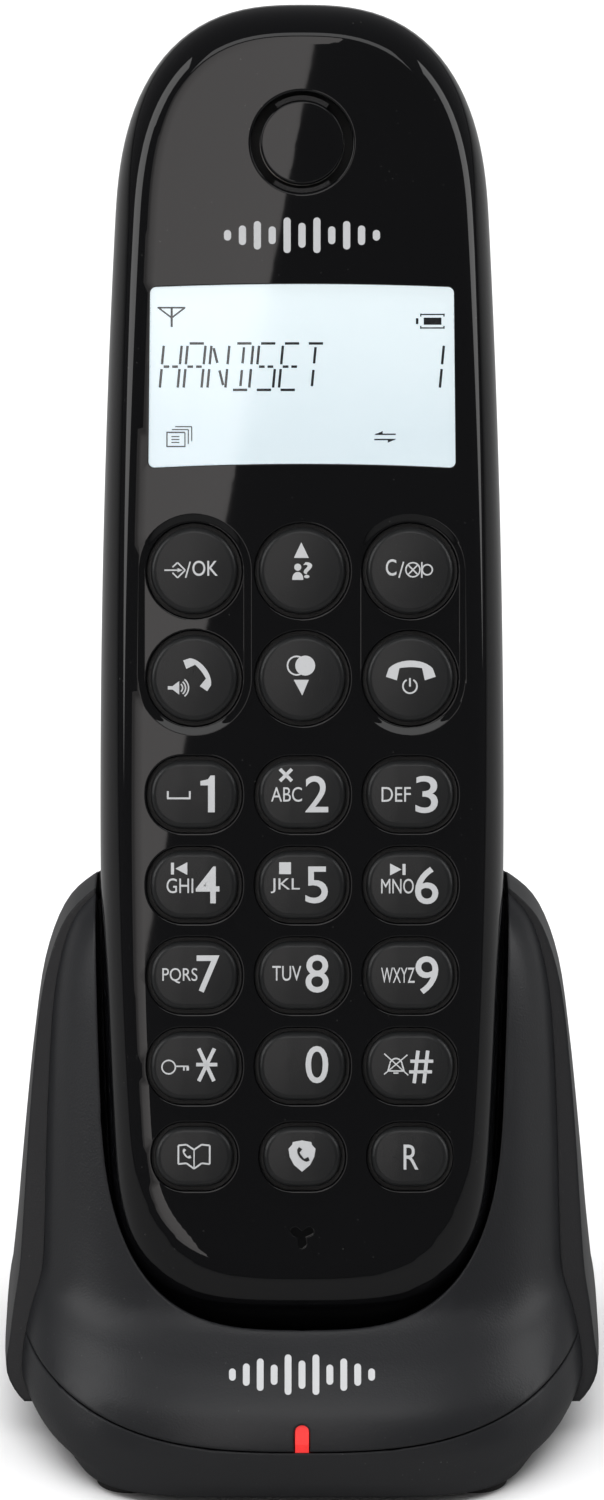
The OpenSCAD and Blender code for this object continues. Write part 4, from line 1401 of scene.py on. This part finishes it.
def add_softbox(camera):
    """A tall soft panel beside the camera, with one slanted edge and a fading glow."""
    deselect_all()
    bpy.ops.mesh.primitive_plane_add(size=1)
    panel = bpy.context.object
    panel.name = "slanted_softbox"
    for vertex, (x, y) in zip(panel.data.vertices,
                              ((-0.62, -0.3), (-0.084, -0.3), (-0.62, 0.5), (0.0647, 0.5))):
        vertex.co = (x, y, 0.01)
    panel.data.transform(camera.matrix_world)
    material = bpy.data.materials.new("soft glow")
    material.use_nodes = True
    tree = material.node_tree
    tree.nodes.clear()
    sheet = Sheet(tree)
    place = sheet.add("TexCoord").outputs["Object"]
    split = sheet.add("SeparateXYZ", Vector=place)
    fade = sheet.span(split.outputs["X"], From_Min=-0.45, From_Max=0.0, To_Min=0.55, To_Max=1.75)
    glow = sheet.add("Emission", Strength=fade)
    glow.inputs["Color"].default_value = (1, 0.96, 0.95, 1)
    end = sheet.add("OutputMaterial")
    tree.links.new(glow.outputs[0], end.inputs["Surface"])
    panel.data.materials.append(material)
    panel.visible_camera = False
    panel.visible_shadow = False


def add_floor():
    deselect_all()
    bpy.ops.mesh.primitive_plane_add(size=12, location=(0, 2, 0))
    floor = bpy.context.object
    floor.name = "studio_floor"
    material, sheet, shader = new_material("pale floor")
    surface = place_group(sheet, MOULDED, Grain_Scale=400.0, Roughness=0.7, Wander=0.1,
                          Wander_Scale=3.0)
    sheet.feed(shader, "Base Color", blend_colours(sheet, surface.outputs["Mottle"],
                                                   (0.86, 0.86, 0.87), (0.88, 0.88, 0.88)))
    sheet.feed(shader, "Roughness", surface.outputs["Roughness"])
    shader.inputs["Specular IOR Level"].default_value = 0.2
    # in gloss the floor shows darker than it is, as when black cards stand round a product
    card = sheet.add("BsdfDiffuse")
    card.inputs["Color"].default_value = (0.2, 0.2, 0.2, 1)
    path = sheet.add("LightPath")
    share = sheet.add("MixShader", Fac=path.outputs["Is Glossy Ray"])
    sheet.tree.links.new(shader.outputs[0], share.inputs[1])
    sheet.tree.links.new(card.outputs[0], share.inputs[2])
    sheet.tree.links.new(share.outputs[0],
                         sheet.tree.nodes["Material Output"].inputs["Surface"])
    floor.data.materials.append(material)


def light_the_scene():
    camera = add_camera()
    add_softbox(camera)
    add_floor()
    overhead = add_area("overhead", (0, 0.6, 1.9), (0, 0.5, 0), 3.2, 2.8, 78)
    overhead.visible_glossy = False
    add_area("high_panel", (0, -0.75, 1.35), (0, 0, 0.08), 1.2, 0.5, 3.0)
    add_area("left_panel", (-1.1, -0.1, 0.7), (0, 0, 0.08), 0.5, 1.1, 3.5)
    add_area("right_panel", (1.1, 0.1, 0.6), (0, 0, 0.08), 0.4, 1.0, 2.5)
    world = bpy.data.worlds.new("studio")
    world.use_nodes = True
    world.node_tree.nodes["Background"].inputs["Color"].default_value = (0.09, 0.09, 0.092, 1)
    bpy.context.scene.world = world
    bpy.context.scene.view_settings.view_transform = "Standard"


light_the_scene()
